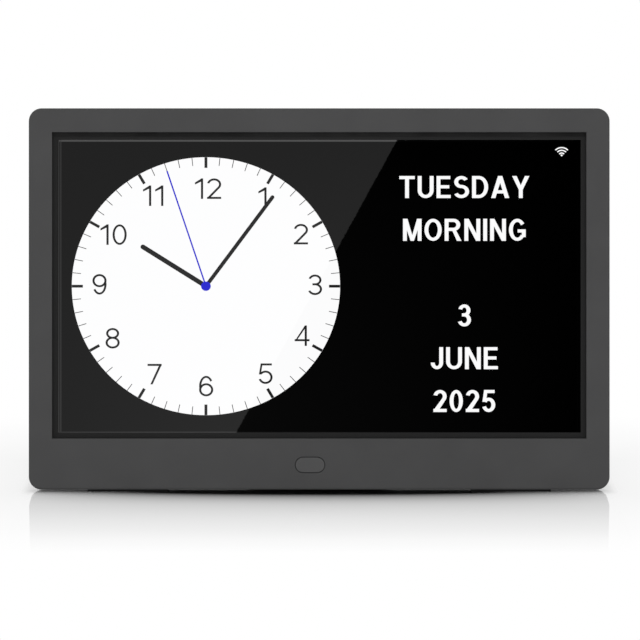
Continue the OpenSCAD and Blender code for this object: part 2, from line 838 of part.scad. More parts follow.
// Printed antenna on the inner side of the cover's top, with its thin cable to the board.
module wifi_antenna() color([0.75, 0.55, 0.25]) leaning() {
    bow = 7;
    x1 = board_x0 + radio_chip[0] + radio_chip[2] / 2;
    y = antenna_y0 + antenna_d / 2;
    z0 = board_z0 + board_h - board_hole_inset;
    z1 = in_z1 - antenna_t;
    block(x1 - antenna_w, x1, antenna_y0, antenna_y0 + antenna_d, z1, in_z1);
    lead([
        [x1 - bow, y, z1],
        [x1 - bow, y, z1 - 2 * bow],
        [x1, lead_y, z0],
        [x1, board_back, z0]
    ], thin_lead_r);
}

// ---------------------------------------------------------------- speakers

module speaker_at(side) translate([side * speaker_x, 0, speaker_z]) {
    slab(speaker_plate_y, back_y - speaker_foam_t) difference() {
        round_rect(speaker_w, speaker_h, speaker_corner);
        circle(r = basket_in_r, $fn = round_fn);
    }
    difference() {
        disc(0, 0, speaker_plate_y - basket_d, speaker_plate_y, basket_r);
        disc(0, 0, speaker_plate_y - basket_d + basket_floor, speaker_plate_y + cut, basket_in_r);
    }
    disc(0, 0, speaker_plate_y - basket_d - magnet_d, speaker_plate_y - basket_d, magnet_r);
}

module speaker_left() color(chip_color) leaning() speaker_at(-1);

module speaker_right() color(chip_color) leaning() speaker_at(1);

module speaker_cones() color([0.3, 0.3, 0.3]) leaning() for (s = [-1, 1])
    translate([s * speaker_x, 0, speaker_z]) {
        difference() {
            cone_solid(speaker_plate_y + speaker_plate_t - cone_t);
            cone_solid(speaker_plate_y + speaker_plate_t);
        }
        disc(0, 0, coil_y, coil_y + coil_t, coil_r);
    }

// A cone that narrows from depth y forwards.
module cone_solid(y) translate([0, y, 0]) rotate([90, 0, 0])
    cylinder(r1 = cone_r, r2 = cone_in_r, h = cone_d, $fn = round_fn);

module speaker_gaskets() color(rubber_color) leaning() for (s = [-1, 1])
    slab(back_y - speaker_foam_t, back_y) translate([s * speaker_x, speaker_z]) difference() {
        round_rect(speaker_w, speaker_h, speaker_corner);
        circle(r = speaker_foam_r, $fn = round_fn);
    }

// Each speaker's lead, from its basket to the board's back.
module speaker_leads() color([0.6, 0.1, 0.1]) leaning() {
    tab = (magnet_r + basket_r) / 2 / sqrt(2);
    tab_y = speaker_plate_y - basket_d;
    tab_out = 1.8;
    right_end = [board_x1 - 38, board_z0 + 5];
    left_end = [board_x0 + 6, board_z0 + 25];
    lead([
        [speaker_x - tab, tab_y, speaker_z + tab],
        [speaker_x - tab, tab_y - tab_out, speaker_z + tab],
        [right_end[0], lead_y, board_z0 - board_hole_inset],
        [right_end[0], lead_y, right_end[1]],
        [right_end[0], board_back, right_end[1]]
    ], lead_r);
    lead([
        [tab - speaker_x, tab_y, speaker_z + tab],
        [tab - speaker_x, tab_y - tab_out, speaker_z + tab],
        [board_x0 - 20, lead_front_y, board_z0 + 8],
        [board_x0 - 4, lead_y, left_end[1]],
        [left_end[0], lead_y, left_end[1]],
        [left_end[0], board_back, left_end[1]]
    ], lead_r);
}

// ---------------------------------------------------------------- front button

module front_key_board() color(board_color) leaning() difference() {
    slab(front_board_y, front_board_y + front_board_t) translate([button_x, button_z])
        square([front_board_w, front_board_h], center = true);
    for (s = [-1, 1])
        disc(
            button_x + s * front_pin_x, button_z,
            front_board_y - cut, front_board_y + front_board_t + cut, front_pin_r
        );
}

module front_switch() color(steel_color) leaning() difference() {
    slab(front_body_y, front_board_y) translate([button_x, button_z])
        square([front_switch_s, front_switch_s], center = true);
    disc(button_x, button_z, front_body_y - cut, front_board_y - pin_gap, stem_r + press_gap);
}

module front_switch_stem() color(chip_color) leaning()
    disc(button_x, button_z, front_stem_y, front_body_y + stem_in, stem_r);

module front_button() color([0.31, 0.31, 0.31]) leaning() {
    slab(0, button_flange_y + button_flange_t / 2) translate([button_x, button_z])
        pill(button_w - 2 * moving_gap, button_h - 2 * moving_gap);
    slab(button_flange_y, button_flange_y + button_flange_t) translate([button_x, button_z])
        pill(button_flange_w, button_flange_h);
    disc(button_x, button_z, button_flange_y + button_flange_t, front_stem_y, button_post_r);
}

module front_key_lead() color([0.9, 0.9, 0.9]) leaning() {
    x = button_x + 8;
    y = front_board_y + front_board_t;
    z = button_z + 2;
    lead([
        [board_x0 + 2, board_y, board_z0 + 14],
        [board_x0 + 2, board_y - 1.6, board_z0 + 14],
        [board_x0 - 6, module_y1 + 2.2, board_z0 - 10],
        [x, y + 3, z],
        [x, y, z]
    ], thin_lead_r);
}

// ---------------------------------------------------------------- function keys

module key_board() color(board_color) leaning() difference() {
    slab(key_board_y - pcb_t, key_board_y) translate([(key_x(0) + key_x(key_count - 1)) / 2, key_z])
        square([key_pitch * (key_count - 1) + 2 * key_board_end, key_board_h], center = true);
    for (x = key_post_xs()) disc(x, key_z, key_board_y - pcb_t - cut, key_board_y + cut, screw_r + hole_gap);
}

module key_board_screws() color(steel_color) leaning()
    for (x = key_post_xs()) screw(x, key_z, key_board_y - pcb_t, pcb_t + screw_grip / 2, -1);

module key_switches() color(steel_color) leaning() for (i = [0:key_count - 1]) difference() {
    slab(key_board_y, key_body_y) translate([key_x(i), key_z]) square([switch_s, switch_s], center = true);
    disc(key_x(i), key_z, key_body_y - stem_in - moving_gap - press_gap, key_body_y + cut, stem_r + press_gap);
}

module key_lead() color([0.9, 0.9, 0.9]) leaning() {
    x = key_x(key_count - 1) + 4;
    y = key_board_y - pcb_t;
    z = key_z - 3;
    lead([
        [x, y, z],
        [x, y - 2, z],
        [board_x0 - 14, lead_front_y, board_z0 + board_h + 4],
        [board_x0 - 6, lead_y, board_z0 + board_h - 10],
        [board_x0 + 4, lead_y, board_z0 + board_h - 10],
        [board_x0 + 4, board_back, board_z0 + board_h - 10]
    ], lead_r);
}

module key_cap(i) color(key_color) leaning() {
    middle_y = key_flange_y + key_flange_t / 2;
    disc(key_x(i), key_z, key_flange_y, key_flange_y + key_flange_t, key_r + key_flange_w);
    disc(key_x(i), key_z, middle_y, case_d + key_stand_out, key_r);
    disc(key_x(i), key_z, key_stem_y, middle_y, key_post_r);
}

module key_stem(i) color(chip_color) leaning() disc(key_x(i), key_z, key_body_y - stem_in, key_stem_y, stem_r);

module key_power() key_cap(0);
module key_menu() key_cap(1);
module key_up() key_cap(2);
module key_down() key_cap(3);
module key_left() key_cap(4);
module key_right() key_cap(5);
module key_exit() key_cap(6);
module stem_power() key_stem(0);
module stem_menu() key_stem(1);
module stem_up() key_stem(2);
module stem_down() key_stem(3);
module stem_left() key_stem(4);
module stem_right() key_stem(5);
module stem_exit() key_stem(6);

// ---------------------------------------------------------------- fold-out foot

// The open foot's own frame: Y runs along the foot from the hinge, Z across its thickness.
module opened() leaning() translate([0, hinge_y, hinge_z]) rotate([-stand_drop, 0, 0]) children();

module stand_leg() color(cover_color) opened() difference() {
    union() {
        translate([0, 0, -stand_t / 2]) linear_extrude(stand_t) stand_outline();
        rod(-stand_w / 2, stand_w / 2, 0, 0, barrel_r);
    }
    stand_pockets();
    rod(-stand_w / 2 - cut, stand_w / 2 + cut, 0, 0, pin_r + pin_gap);
    translate([0, stand_end, -stand_t]) cylinder(r = finger_r, h = stand_t / 2 + finger_depth, $fn = round_fn);
}

// Pockets that leave a frame and three ribs on the side that faces the recess.
module stand_pockets() {
    w = (stand_w - 2 * stand_side_rib - 2 * stand_rib) / 3;
    l = (stand_l - stand_pocket_inset - stand_pocket_y0 - stand_cross_rib) / 2;
    for (i = [-1:1], k = [0, 1])
        translate([i * (w + stand_rib) - w / 2, stand_pocket_y0 + k * (l + stand_cross_rib), 0])
            cube([w, l, stand_t]);
}

module stand_outline() {
    r = stand_corner;
    translate([-stand_w / 2, 0]) square([stand_w, stand_end - r]);
    translate([r - stand_w / 2, 0]) square([stand_w - 2 * r, stand_end]);
    for (s = [-1, 1]) translate([s * (stand_w / 2 - r), stand_end - r]) circle(r = r, $fn = round_fn);
}

// Rubber strips under the foot's end, cut level for the open position.
module stand_pad() color(rubber_color) opened() for (s = [-1, 1]) {
    y0 = stand_l - pad_back;
    y1 = stand_l + pad_front;
    x = s * (stand_w / 2 - pad_inset - pad_w / 2);
    translate([x - pad_w / 2, 0, 0]) rotate([90, 0, 90]) linear_extrude(pad_w) polygon([
        [y0, -stand_t / 2],
        [y0, pad_z(y0)],
        [y1, pad_z(y1)],
        [y1, -stand_t / 2]
    ]);
}

// Height of the floor in the open foot's frame, at distance y from the hinge.
function pad_z(y) = (y * sin(stand_slope) - hinge_height) / cos(stand_slope);

module stand_pin() color(steel_color) leaning() rod(-pin_l / 2, pin_l / 2, hinge_y, hinge_z, pin_r);

// ---------------------------------------------------------------- nodes

front_bezel();
bottom_feet();
rear_cover();
case_screws();
lcd_gasket();
lcd_frame();
lcd_polarizer();
lcd_cell();
lcd_light_guide();
lcd_tray();
lcd_pads();
lcd_driver_board();
lcd_ribbon();
screen_dial();
screen_marks();
screen_second_hand();
main_board();
board_chips();
board_screws();
coin_cell_holder();
coin_cell();
dc_jack();
audio_jack();
usb_port();
card_slot();
wifi_antenna();
speaker_left();
speaker_right();
speaker_cones();
speaker_gaskets();
speaker_leads();
front_key_board();
front_switch();
front_switch_stem();
front_button();
front_key_lead();
key_board();
key_board_screws();
key_switches();
key_lead();
key_power();
key_menu();
key_up();
key_down();
key_left();
key_right();
key_exit();
stem_power();
stem_menu();
stem_up();
stem_down();
stem_left();
stem_right();
stem_exit();
stand_leg();
stand_pad();
stand_pin();
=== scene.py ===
"""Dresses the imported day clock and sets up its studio.

Sizes are in metres. New pieces are drawn in the case's own frame: X to the right, Y from the
front face backwards and Z up, from the middle of the front face's bottom edge. CaseFrame finds
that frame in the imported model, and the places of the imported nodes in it.
"""

import json
import logging
import math
from dataclasses import dataclass, field
from enum import Enum

import bpy
import numpy as np
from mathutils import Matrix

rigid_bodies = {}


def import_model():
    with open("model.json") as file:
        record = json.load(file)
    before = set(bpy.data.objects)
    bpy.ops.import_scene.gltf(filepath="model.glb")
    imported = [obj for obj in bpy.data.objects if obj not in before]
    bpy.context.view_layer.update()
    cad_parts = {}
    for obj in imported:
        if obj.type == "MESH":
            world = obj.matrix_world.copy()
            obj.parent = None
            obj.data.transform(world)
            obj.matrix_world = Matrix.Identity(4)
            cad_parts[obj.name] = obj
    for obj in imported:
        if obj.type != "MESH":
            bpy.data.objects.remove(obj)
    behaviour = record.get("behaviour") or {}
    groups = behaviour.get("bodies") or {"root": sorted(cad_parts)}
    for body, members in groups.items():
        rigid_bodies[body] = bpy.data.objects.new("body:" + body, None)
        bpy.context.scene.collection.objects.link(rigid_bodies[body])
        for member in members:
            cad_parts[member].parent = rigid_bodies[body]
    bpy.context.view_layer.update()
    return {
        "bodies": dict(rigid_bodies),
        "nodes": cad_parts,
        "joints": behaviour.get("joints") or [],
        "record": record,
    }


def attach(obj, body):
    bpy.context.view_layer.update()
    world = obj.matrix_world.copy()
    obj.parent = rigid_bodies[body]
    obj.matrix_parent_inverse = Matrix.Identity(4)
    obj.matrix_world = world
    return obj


LOG = logging.getLogger("day_clock")
MM = 0.001
FRONT = (0.0, -1.0, 0.0)
BACK = (0.0, 1.0, 0.0)
Points = np.ndarray
Colour = tuple[float, float, float]
Triple = tuple[float, float, float]
Pair = tuple[float, float]
Curve = tuple[Pair, ...]
Socket = bpy.types.NodeSocket


# ------------------------------------------------------------------ frame of the case


@dataclass
class CaseFrame:
    """The leaning case's frame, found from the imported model.

    The front key moves along the case's depth, so its axis gives the lean. The outline of the
    front frame, with the lean undone, gives the origin, the width and the height.
    """

    nodes: dict[str, bpy.types.Object]
    lean: float = 0.0
    width: float = 0.0
    height: float = 0.0
    origin: Points = field(default_factory=lambda: np.zeros(3))

    def find(self, joints: list[dict]) -> "CaseFrame":
        """Fills this frame in.

        Args:
            joints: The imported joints.

        Returns:
            This frame.
        """
        axis = next(joint["axis"] for joint in joints if joint["name"] == "front_key_press")
        self.lean = math.atan2(-axis[2], axis[1])
        low, high = self.span("front_bezel")
        self.width, self.height = high[0] - low[0], high[2] - low[2]
        self.origin = self.turn(np.array([[(low[0] + high[0]) / 2, low[1], low[2]]]))[0]
        return self

    def turn(self, points: Points) -> Points:
        """Leans directions: depth becomes y cos + z sin, and height becomes z cos - y sin.

        Args:
            points: Directions or points in the case's frame.

        Returns:
            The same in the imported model's frame, from the case's origin.
        """
        cosine, sine = math.cos(self.lean), math.sin(self.lean)
        x, y, z = points.T
        return np.stack([x, y * cosine + z * sine, z * cosine - y * sine], axis=1)

    def place(self, points: Points) -> Points:
        """Takes points from the case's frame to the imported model's frame."""
        return self.turn(points) + self.origin

    def vertices(self, node: str) -> Points:
        """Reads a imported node's vertices in the case's frame, where y cos - z sin is the depth.

        Args:
            node: The node's name.

        Returns:
            The vertices, to a micrometre.
        """
        mesh = self.nodes[node].data
        flat = np.empty(len(mesh.vertices) * 3, np.float32)
        mesh.vertices.foreach_get("co", flat)
        cosine, sine = math.cos(self.lean), math.sin(self.lean)
        x, y, z = (flat.reshape(-1, 3) - self.origin).T
        return np.round(np.stack([x, y * cosine - z * sine, z * cosine + y * sine], axis=1), 6)

    def span(self, node: str) -> tuple[Points, Points]:
        """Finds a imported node's lowest and highest corner in the case's frame."""
        points = self.vertices(node)
        return points.min(axis=0), points.max(axis=0)


# ------------------------------------------------------------------ meshes


@dataclass
class MeshParts:
    """Vertices and faces that are gathered before they become one mesh."""

    vertices: list[Points] = field(default_factory=list)
    faces: list[Points] = field(default_factory=list)
    count: int = 0

    def add(self, vertices: Points, faces: Points) -> None:
        """Appends a patch.

        Args:
            vertices: Its vertices.
            faces: Its faces, which count from its own first vertex.
        """
        self.vertices.append(vertices)
        self.faces.append(faces + self.count)
        self.count += len(vertices)

    def include(self, other: "MeshParts", offset: Points) -> None:
        """Appends another one's patches, moved by an offset."""
        self.vertices += [patch + offset for patch in other.vertices]
        self.faces += [patch + self.count for patch in other.faces]
        self.count += other.count

    def to_object(
        self, name: str, material: bpy.types.Material, smooth: bool = False
    ) -> bpy.types.Object:
        """Makes one object at the origin from all the patches.

        Args:
            name: The object's name.
            material: The only material.
            smooth: Whether its faces are shaded smooth.

        Returns:
            The linked object.
        """
        vertices = np.concatenate(self.vertices)
        faces = [face for patch in self.faces for face in patch.tolist()]
        mesh = bpy.data.meshes.new(name)
        mesh.from_pydata(vertices.tolist(), [], faces)
        mesh.materials.append(material)
        mesh.polygons.foreach_set("use_smooth", [smooth] * len(mesh.polygons))
        mesh.update()
        piece = bpy.data.objects.new(name, mesh)
        bpy.context.scene.collection.objects.link(piece)
        return piece

    def stood(self, depth: float, direction: Triple) -> "MeshParts":
        """Stands flat (x, z) patches up.

        Args:
            depth: Their depth in the case.
            direction: Where their faces have to look.

        Returns:
            The upright patches.
        """
        upright = [np.insert(patch, 1, depth, axis=1) for patch in self.vertices]
        everything = np.concatenate(upright)
        faces = [facing(everything, patch, direction) for patch in self.faces]
        return MeshParts(upright, faces, self.count)

    def to_rider(
        self, name: str, case: CaseFrame, material: bpy.types.Material, slot: str, body: str = "case",
        smooth: bool = False,
    ) -> bpy.types.Object:
        """Leans all the patches with the case and makes one piece that rides on a body.

        Args:
            name: The piece's name.
            case: The case's frame, which the vertices are in.
            material: Its only material.
            slot: The slot of the record that it stands for; not used.
            body: The body that it rides on.
            smooth: Whether its faces are shaded smooth.

        Returns:
            The piece.
        """
        leaned = MeshParts([case.place(patch) for patch in self.vertices], self.faces, self.count)
        piece = leaned.to_object(name, material, smooth)
        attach(piece, body)
        LOG.info("made %s", name)
        return piece


def facing(vertices: Points, faces: Points, direction: Triple) -> Points:
    """Turns over the faces whose first corner's normal points away from a direction.

    Args:
        vertices: The vertices of the patch.
        faces: Its faces.
        direction: Where the faces have to look.

    Returns:
        The faces, all looking that way.
    """
    first, second, last = (vertices[faces[:, k]] for k in (0, 1, -1))
    away = np.cross(second - first, last - first) @ np.array(direction, float) < 0
    turned = faces.copy()
    turned[away] = faces[away][:, ::-1]
    return turned


def grid_faces(rows: int, columns: int, closed: bool = False) -> Points:
    """Quads of a grid of vertices that runs row by row.

    Args:
        rows: How many rows there are.
        columns: How many vertices a row has.
        closed: Whether each row's end is joined to its start.

    Returns:
        Four vertices for each face.
    """
    starts = np.arange(columns if closed else columns - 1)
    row, column = (axis.ravel() for axis in np.meshgrid(np.arange(rows - 1), starts, indexing="ij"))
    here, above = row * columns, (row + 1) * columns
    after = (column + 1) % columns
    return np.stack([here + column, here + after, above + after, above + column], axis=1)


def quad(x0: float, z0: float, x1: float, z1: float) -> tuple[Points, Points]:
    """The four corners (x, z) of an upright rectangle, and its one face."""
    return np.array([[x0, z0], [x1, z0], [x1, z1], [x0, z1]]), np.array([[0, 1, 2, 3]])


def arc(centre: Pair, radii: Pair, start: float, end: float, steps: int = 14) -> Points:
    """Points of an ellipse's arc: centre + radii (cos, sin), between two angles in degrees."""
    angle = np.radians(np.linspace(start, end, steps))
    return np.array(centre) + np.array(radii) * np.stack([np.cos(angle), np.sin(angle)], axis=1)


def ribbon(path: Points, width: float, longest: float = 2.6) -> tuple[Points, Points]:
    """Widens a flat path into a strip.

    Each point moves half the width along the mean of its two neighbouring normals, stretched
    by one over the cosine of the half angle, so that the strip keeps its width round a corner.

    Args:
        path: Points in the plane.
        width: The strip's width.
        longest: The most that a corner's point is stretched.

    Returns:
        The strip's left and right edges.
    """
    run = np.diff(path, axis=0)
    run /= np.linalg.norm(run, axis=1, keepdims=True)
    normal = np.stack([-run[:, 1], run[:, 0]], axis=1)
    before = np.vstack([normal[:1], normal])
    after = np.vstack([normal, normal[-1:]])
    mean = before + after
    mean /= np.linalg.norm(mean, axis=1, keepdims=True)
    stretch = 1.0 / np.maximum((mean * after).sum(axis=1), 1.0 / longest)
    offset = mean * (stretch * width / 2)[:, None]
    return path + offset, path - offset


# ------------------------------------------------------------------ finishes


# A noise texture's values lie between these two nearly everywhere
NOISE_SPAN = (0.3, 0.7)
BEVEL_SAMPLES = 6


def mix_shaders(tree: bpy.types.NodeTree, share: Socket, first: Socket, second: Socket) -> Socket:
    """Mixes two shaders in a node tree.

    Args:
        tree: The tree.
        share: The share of the second shader, between 0 and 1.
        first: The first shader.
        second: The second shader.

    Returns:
        The socket that holds the mixed shader.
    """
    node = tree.nodes.new("ShaderNodeMixShader")
    for source, socket in zip((share, first, second), node.inputs):
        tree.links.new(source, socket)
    return node.outputs[0]


class NodeChain:
    """A new node material with its Principled shader and its Object coordinates."""

    def __init__(self, name: str) -> None:
        """Makes the material and finds its shader."""
        self.material = bpy.data.materials.new(name)
        self.material.use_nodes = True
        self.tree = self.material.node_tree
        self.shader = self.tree.nodes["Principled BSDF"]
        self.coords = self.tree.nodes.new("ShaderNodeTexCoord")

    def set(self, **values: float | Colour) -> None:
        """Sets constants on the shader's own sockets, named in lower case with underscores."""
        for key, value in values.items():
            socket = self.shader.inputs[key.replace("_", " ").title().replace("Ior", "IOR")]
            socket.default_value = (*value, 1.0) if isinstance(value, tuple) else value

    def noise(self, scale: float, detail: float = 3.0, stretch: Triple = (1.0, 1.0, 1.0)) -> Socket:
        """Adds a noise texture on Object coordinates.

        Args:
            scale: Its waves in a metre.
            detail: How many finer waves lie on them.
            stretch: How much closer the waves lie along each axis.

        Returns:
            The socket that holds its value.
        """
        mapping = self.tree.nodes.new("ShaderNodeMapping")
        mapping.inputs["Scale"].default_value = stretch
        self.tree.links.new(self.coords.outputs["Object"], mapping.inputs["Vector"])
        texture = self.tree.nodes.new("ShaderNodeTexNoise")
        texture.inputs["Scale"].default_value = scale
        texture.inputs["Detail"].default_value = detail
        self.tree.links.new(mapping.outputs["Vector"], texture.inputs["Vector"])
        return texture.outputs["Fac"]

    def mottle(self, value: Socket, colour: Colour, spread: float) -> None:
        """Varies the base colour with a texture's value.

        Args:
            value: The texture's value.
            colour: The colour in the middle.
            spread: The share by which it grows darker and lighter.
        """
        ramp = self.tree.nodes.new("ShaderNodeValToRGB")
        for stop, place, share in zip(ramp.color_ramp.elements, NOISE_SPAN, (1 - spread, 1 + spread)):
            stop.color = (*(min(1.0, part * share) for part in colour), 1.0)
            stop.position = place
        self.tree.links.new(value, ramp.inputs["Fac"])
        self.tree.links.new(ramp.outputs["Color"], self.shader.inputs["Base Color"])

    def math(self, operation: str, *values: Socket | float) -> Socket:
        """Adds a maths node.

        Args:
            operation: What it works out.
            values: Its inputs, as sockets or numbers.

        Returns:
            The socket that holds the result.
        """
        node = self.tree.nodes.new("ShaderNodeMath")
        node.operation = operation
        for socket, value in zip(node.inputs, values):
            if isinstance(value, Socket):
                self.tree.links.new(value, socket)
            else:
                socket.default_value = value
        return node.outputs[0]

    def curve(self, value: Socket, points: Curve) -> Socket:
        """Looks a value up on a line through points.

        Args:
            value: What is looked up.
            points: Places from 0 upwards, each with its value between 0 and 1.

        Returns:
            The socket that holds the result.
        """
        ramp = self.tree.nodes.new("ShaderNodeValToRGB")
        stops = ramp.color_ramp.elements
        furthest = points[-1][0]
        for stop, (_, level) in zip(stops, (points[0], points[-1])):
            stop.color = (level, level, level, 1.0)
        for place, level in points[1:-1]:
            stops.new(place / furthest).color = (level, level, level, 1.0)
        self.tree.links.new(self.math("DIVIDE", value, furthest), ramp.inputs["Fac"])
        return ramp.outputs["Color"]

    def split(self, axis: str) -> Socket:
        """Returns the Object coordinate along the axis X, Y or Z."""
        node = self.tree.nodes.new("ShaderNodeSeparateXYZ")
        self.tree.links.new(self.coords.outputs["Object"], node.inputs["Vector"])
        return node.outputs[axis]

    def roughen(self, value: Socket, low: float, high: float) -> None:
        """Varies the roughness with a texture's value.

        Args:
            value: The texture's value.
            low: The roughness at its low end.
            high: The roughness at its high end.
        """
        span = self.tree.nodes.new("ShaderNodeMapRange")
        ends = zip(("From Min", "From Max", "To Min", "To Max"), (*NOISE_SPAN, low, high))
        for key, end in ends:
            span.inputs[key].default_value = end
        self.tree.links.new(value, span.inputs["Value"])
        self.tree.links.new(span.outputs["Result"], self.shader.inputs["Roughness"])

    def bump(self, value: Socket, distance: float, strength: float = 1.0, edge: float = 0.0) -> None:
        """Raises the surface by a texture's value, over edges that are rounded to a radius.

        Args:
            value: The texture's value.
            distance: The height of its relief.
            strength: How much of it shows.
            edge: The radius of the rounded edges, or 0 for none.
        """
        node = self.tree.nodes.new("ShaderNodeBump")
        if edge:
            rounded = self.tree.nodes.new("ShaderNodeBevel")
            rounded.samples = BEVEL_SAMPLES
            rounded.inputs["Radius"].default_value = edge
            self.tree.links.new(rounded.outputs["Normal"], node.inputs["Normal"])
        node.inputs["Distance"].default_value = distance
        node.inputs["Strength"].default_value = strength
        self.tree.links.new(value, node.inputs["Height"])
        self.tree.links.new(node.outputs["Normal"], self.shader.inputs["Normal"])


@dataclass(frozen=True)
class MouldedPlastic:
    """Plastic with the fine grain of a spark-eroded mould.

    Grain and clouds are waves in a metre, and spread is how much the clouds change the colour.
    """

    name: str
    colour: Colour
    roughness: Pair = (0.48, 0.6)
    grain: float = 2600.0
    relief: float = 0.02 * MM
    spread: float = 0.05
    specular: float = 0.4
    edge: float = 0.25 * MM
    clouds: float = 60.0
    relief_share: float = 0.6

    def make(self) -> bpy.types.Material:
        """Builds the material."""
        chain = NodeChain(self.name)
        chain.set(specular_ior_level=self.specular)
        chain.mottle(chain.noise(self.clouds), self.colour, self.spread)
        grain = chain.noise(self.grain, detail=2.0)
        chain.roughen(grain, *self.roughness)
        chain.bump(grain, self.relief, self.relief_share, self.edge)
        return chain.material


@dataclass(frozen=True)
class Metal:
    """Metal with fine brushing or plating marks along one direction."""

    name: str
    colour: Colour = (0.62, 0.62, 0.63)
    roughness: Pair = (0.22, 0.38)
    stretch: Triple = (1.0, 14.0, 14.0)
    marks: float = 300.0
    spread: float = 0.06

    def make(self) -> bpy.types.Material:
        """Builds the material."""
        chain = NodeChain(self.name)
        chain.set(metallic=1.0)
        marks = chain.noise(self.marks, detail=4.0, stretch=self.stretch)
        chain.mottle(marks, self.colour, self.spread)
        chain.roughen(marks, *self.roughness)
        return chain.material


@dataclass(frozen=True)
class ScreenSurface:
    """The screen's glossy front, which mirrors the room faintly, over colour or light."""

    name: str
    colour: Colour = (0.0, 0.0, 0.0)
    light: Colour = (0.0, 0.0, 0.0)
    roughness: float = 0.008
    ior: float = 1.5
    ripples: float = 900.0
    ripple_height: float = 0.001 * MM
    ripple_share: float = 0.15

    def make(self) -> bpy.types.Material:
        """Builds the material, with a faint anti-glare ripple in its reflections."""
        chain = NodeChain(self.name)
        chain.set(base_color=self.colour, roughness=self.roughness, ior=self.ior)
        if max(self.light) > 0:
            chain.set(emission_color=self.light, emission_strength=1.0)
        chain.bump(chain.noise(self.ripples, detail=1.0), self.ripple_height, self.ripple_share)
        return chain.material


class Finish(Enum):
    """Every finish. Those that share a name with a material slot of the record dress its nodes."""

    CASE = MouldedPlastic("case_plastic", (0.048, 0.048, 0.0485), specular=0.18)
    BUTTON = MouldedPlastic("button_plastic", (0.059, 0.059, 0.0595), (0.44, 0.54), specular=0.2)
    COVER = MouldedPlastic("cover_plastic", (0.034, 0.034, 0.035), (0.55, 0.72), 1500.0, 0.05 * MM, 0.08)
    KEY = MouldedPlastic("key_plastic", (0.014, 0.014, 0.015), (0.4, 0.5))
    PRINT = MouldedPlastic("key_print", (0.42, 0.42, 0.41), (0.5, 0.6), edge=0.0)
    SWITCH = MouldedPlastic("switch_black", (0.011, 0.011, 0.012), (0.35, 0.5))
    RUBBER = MouldedPlastic("rubber", (0.008, 0.008, 0.008), (0.78, 0.92), 900.0, 0.06 * MM, 0.15, 0.2)
    FOAM = MouldedPlastic("foam", (0.012, 0.012, 0.012), (0.9, 1.0), 700.0, 0.2 * MM, 0.3, 0.1)
    RIM = MouldedPlastic("screen_frame", (0.0065, 0.0065, 0.0065), (0.5, 0.6), 3000.0, 0.01 * MM, 0.04, 0.2)
    GUIDE = MouldedPlastic("light_guide", (0.78, 0.78, 0.75), (0.2, 0.3), 500.0, 0.01 * MM)
    BOARD = MouldedPlastic("circuit_board", (0.012, 0.085, 0.03), (0.25, 0.4), 400.0, 0.03 * MM, 0.25)
    FLEX = MouldedPlastic("flex_film", (0.5, 0.25, 0.05), (0.25, 0.35), 400.0, 0.02 * MM, 0.2)
    PAPER = MouldedPlastic("speaker_paper", (0.05, 0.05, 0.052), (0.8, 0.95), 700.0, 0.08 * MM, 0.2)
    LEAD_RED = MouldedPlastic("lead_red", (0.35, 0.02, 0.02), (0.3, 0.4), 500.0, 0.01 * MM)
    LEAD_WHITE = MouldedPlastic("lead_white", (0.7, 0.7, 0.68), (0.3, 0.4), 500.0, 0.01 * MM)
    STEEL = Metal("steel")
    SCREW = Metal("screw_zinc", (0.5, 0.5, 0.51), (0.25, 0.4), (6.0, 6.0, 6.0))
    GOLD = Metal("contact_gold", (0.8, 0.55, 0.2))
    GLASS = ScreenSurface("screen_glass", (0.05, 0.07, 0.08))
    FILM = ScreenSurface("screen_film")
    # Flat strips on the screen sheet's edges: a raised IOR paints the highlights that they catch
    EDGE = ScreenSurface("screen_edge", ior=2.05)
    TOP_EDGE = ScreenSurface("screen_top_edge", ior=2.6)
    WHITE = ScreenSurface("picture_white", light=(0.97, 0.97, 0.975))
    INK = ScreenSurface("picture_ink", light=(0.012, 0.012, 0.012))
    BLUE = ScreenSurface("picture_blue", light=(0.01, 0.009, 0.6))


class Wardrobe:
    """Makes each finish once and hands it out."""

    def __init__(self) -> None:
        """Starts with no finish made."""
        self.made: dict[Finish, bpy.types.Material] = {}

    def get(self, finish: Finish) -> bpy.types.Material:
        """Returns a finish's material, made on first use."""
        if finish not in self.made:
            self.made[finish] = finish.value.make()
        return self.made[finish]

    def dress_nodes(self, frame: dict) -> None:
        """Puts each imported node's finish, by its slot in the record, on its mesh.
        """
        by_slot = {finish.value.name: finish for finish in Finish}
        for entry in frame["record"]["subparts"]:
            node = frame["nodes"][entry["node"]]
            material = self.get(by_slot[entry["material_slot"]])
            if not node.material_slots:
                node.data.materials.append(material)
            for slot in node.material_slots:
                slot.material = material
            LOG.info("%s wears %s", entry["node"], entry["material_slot"])


# ------------------------------------------------------------------ lettering


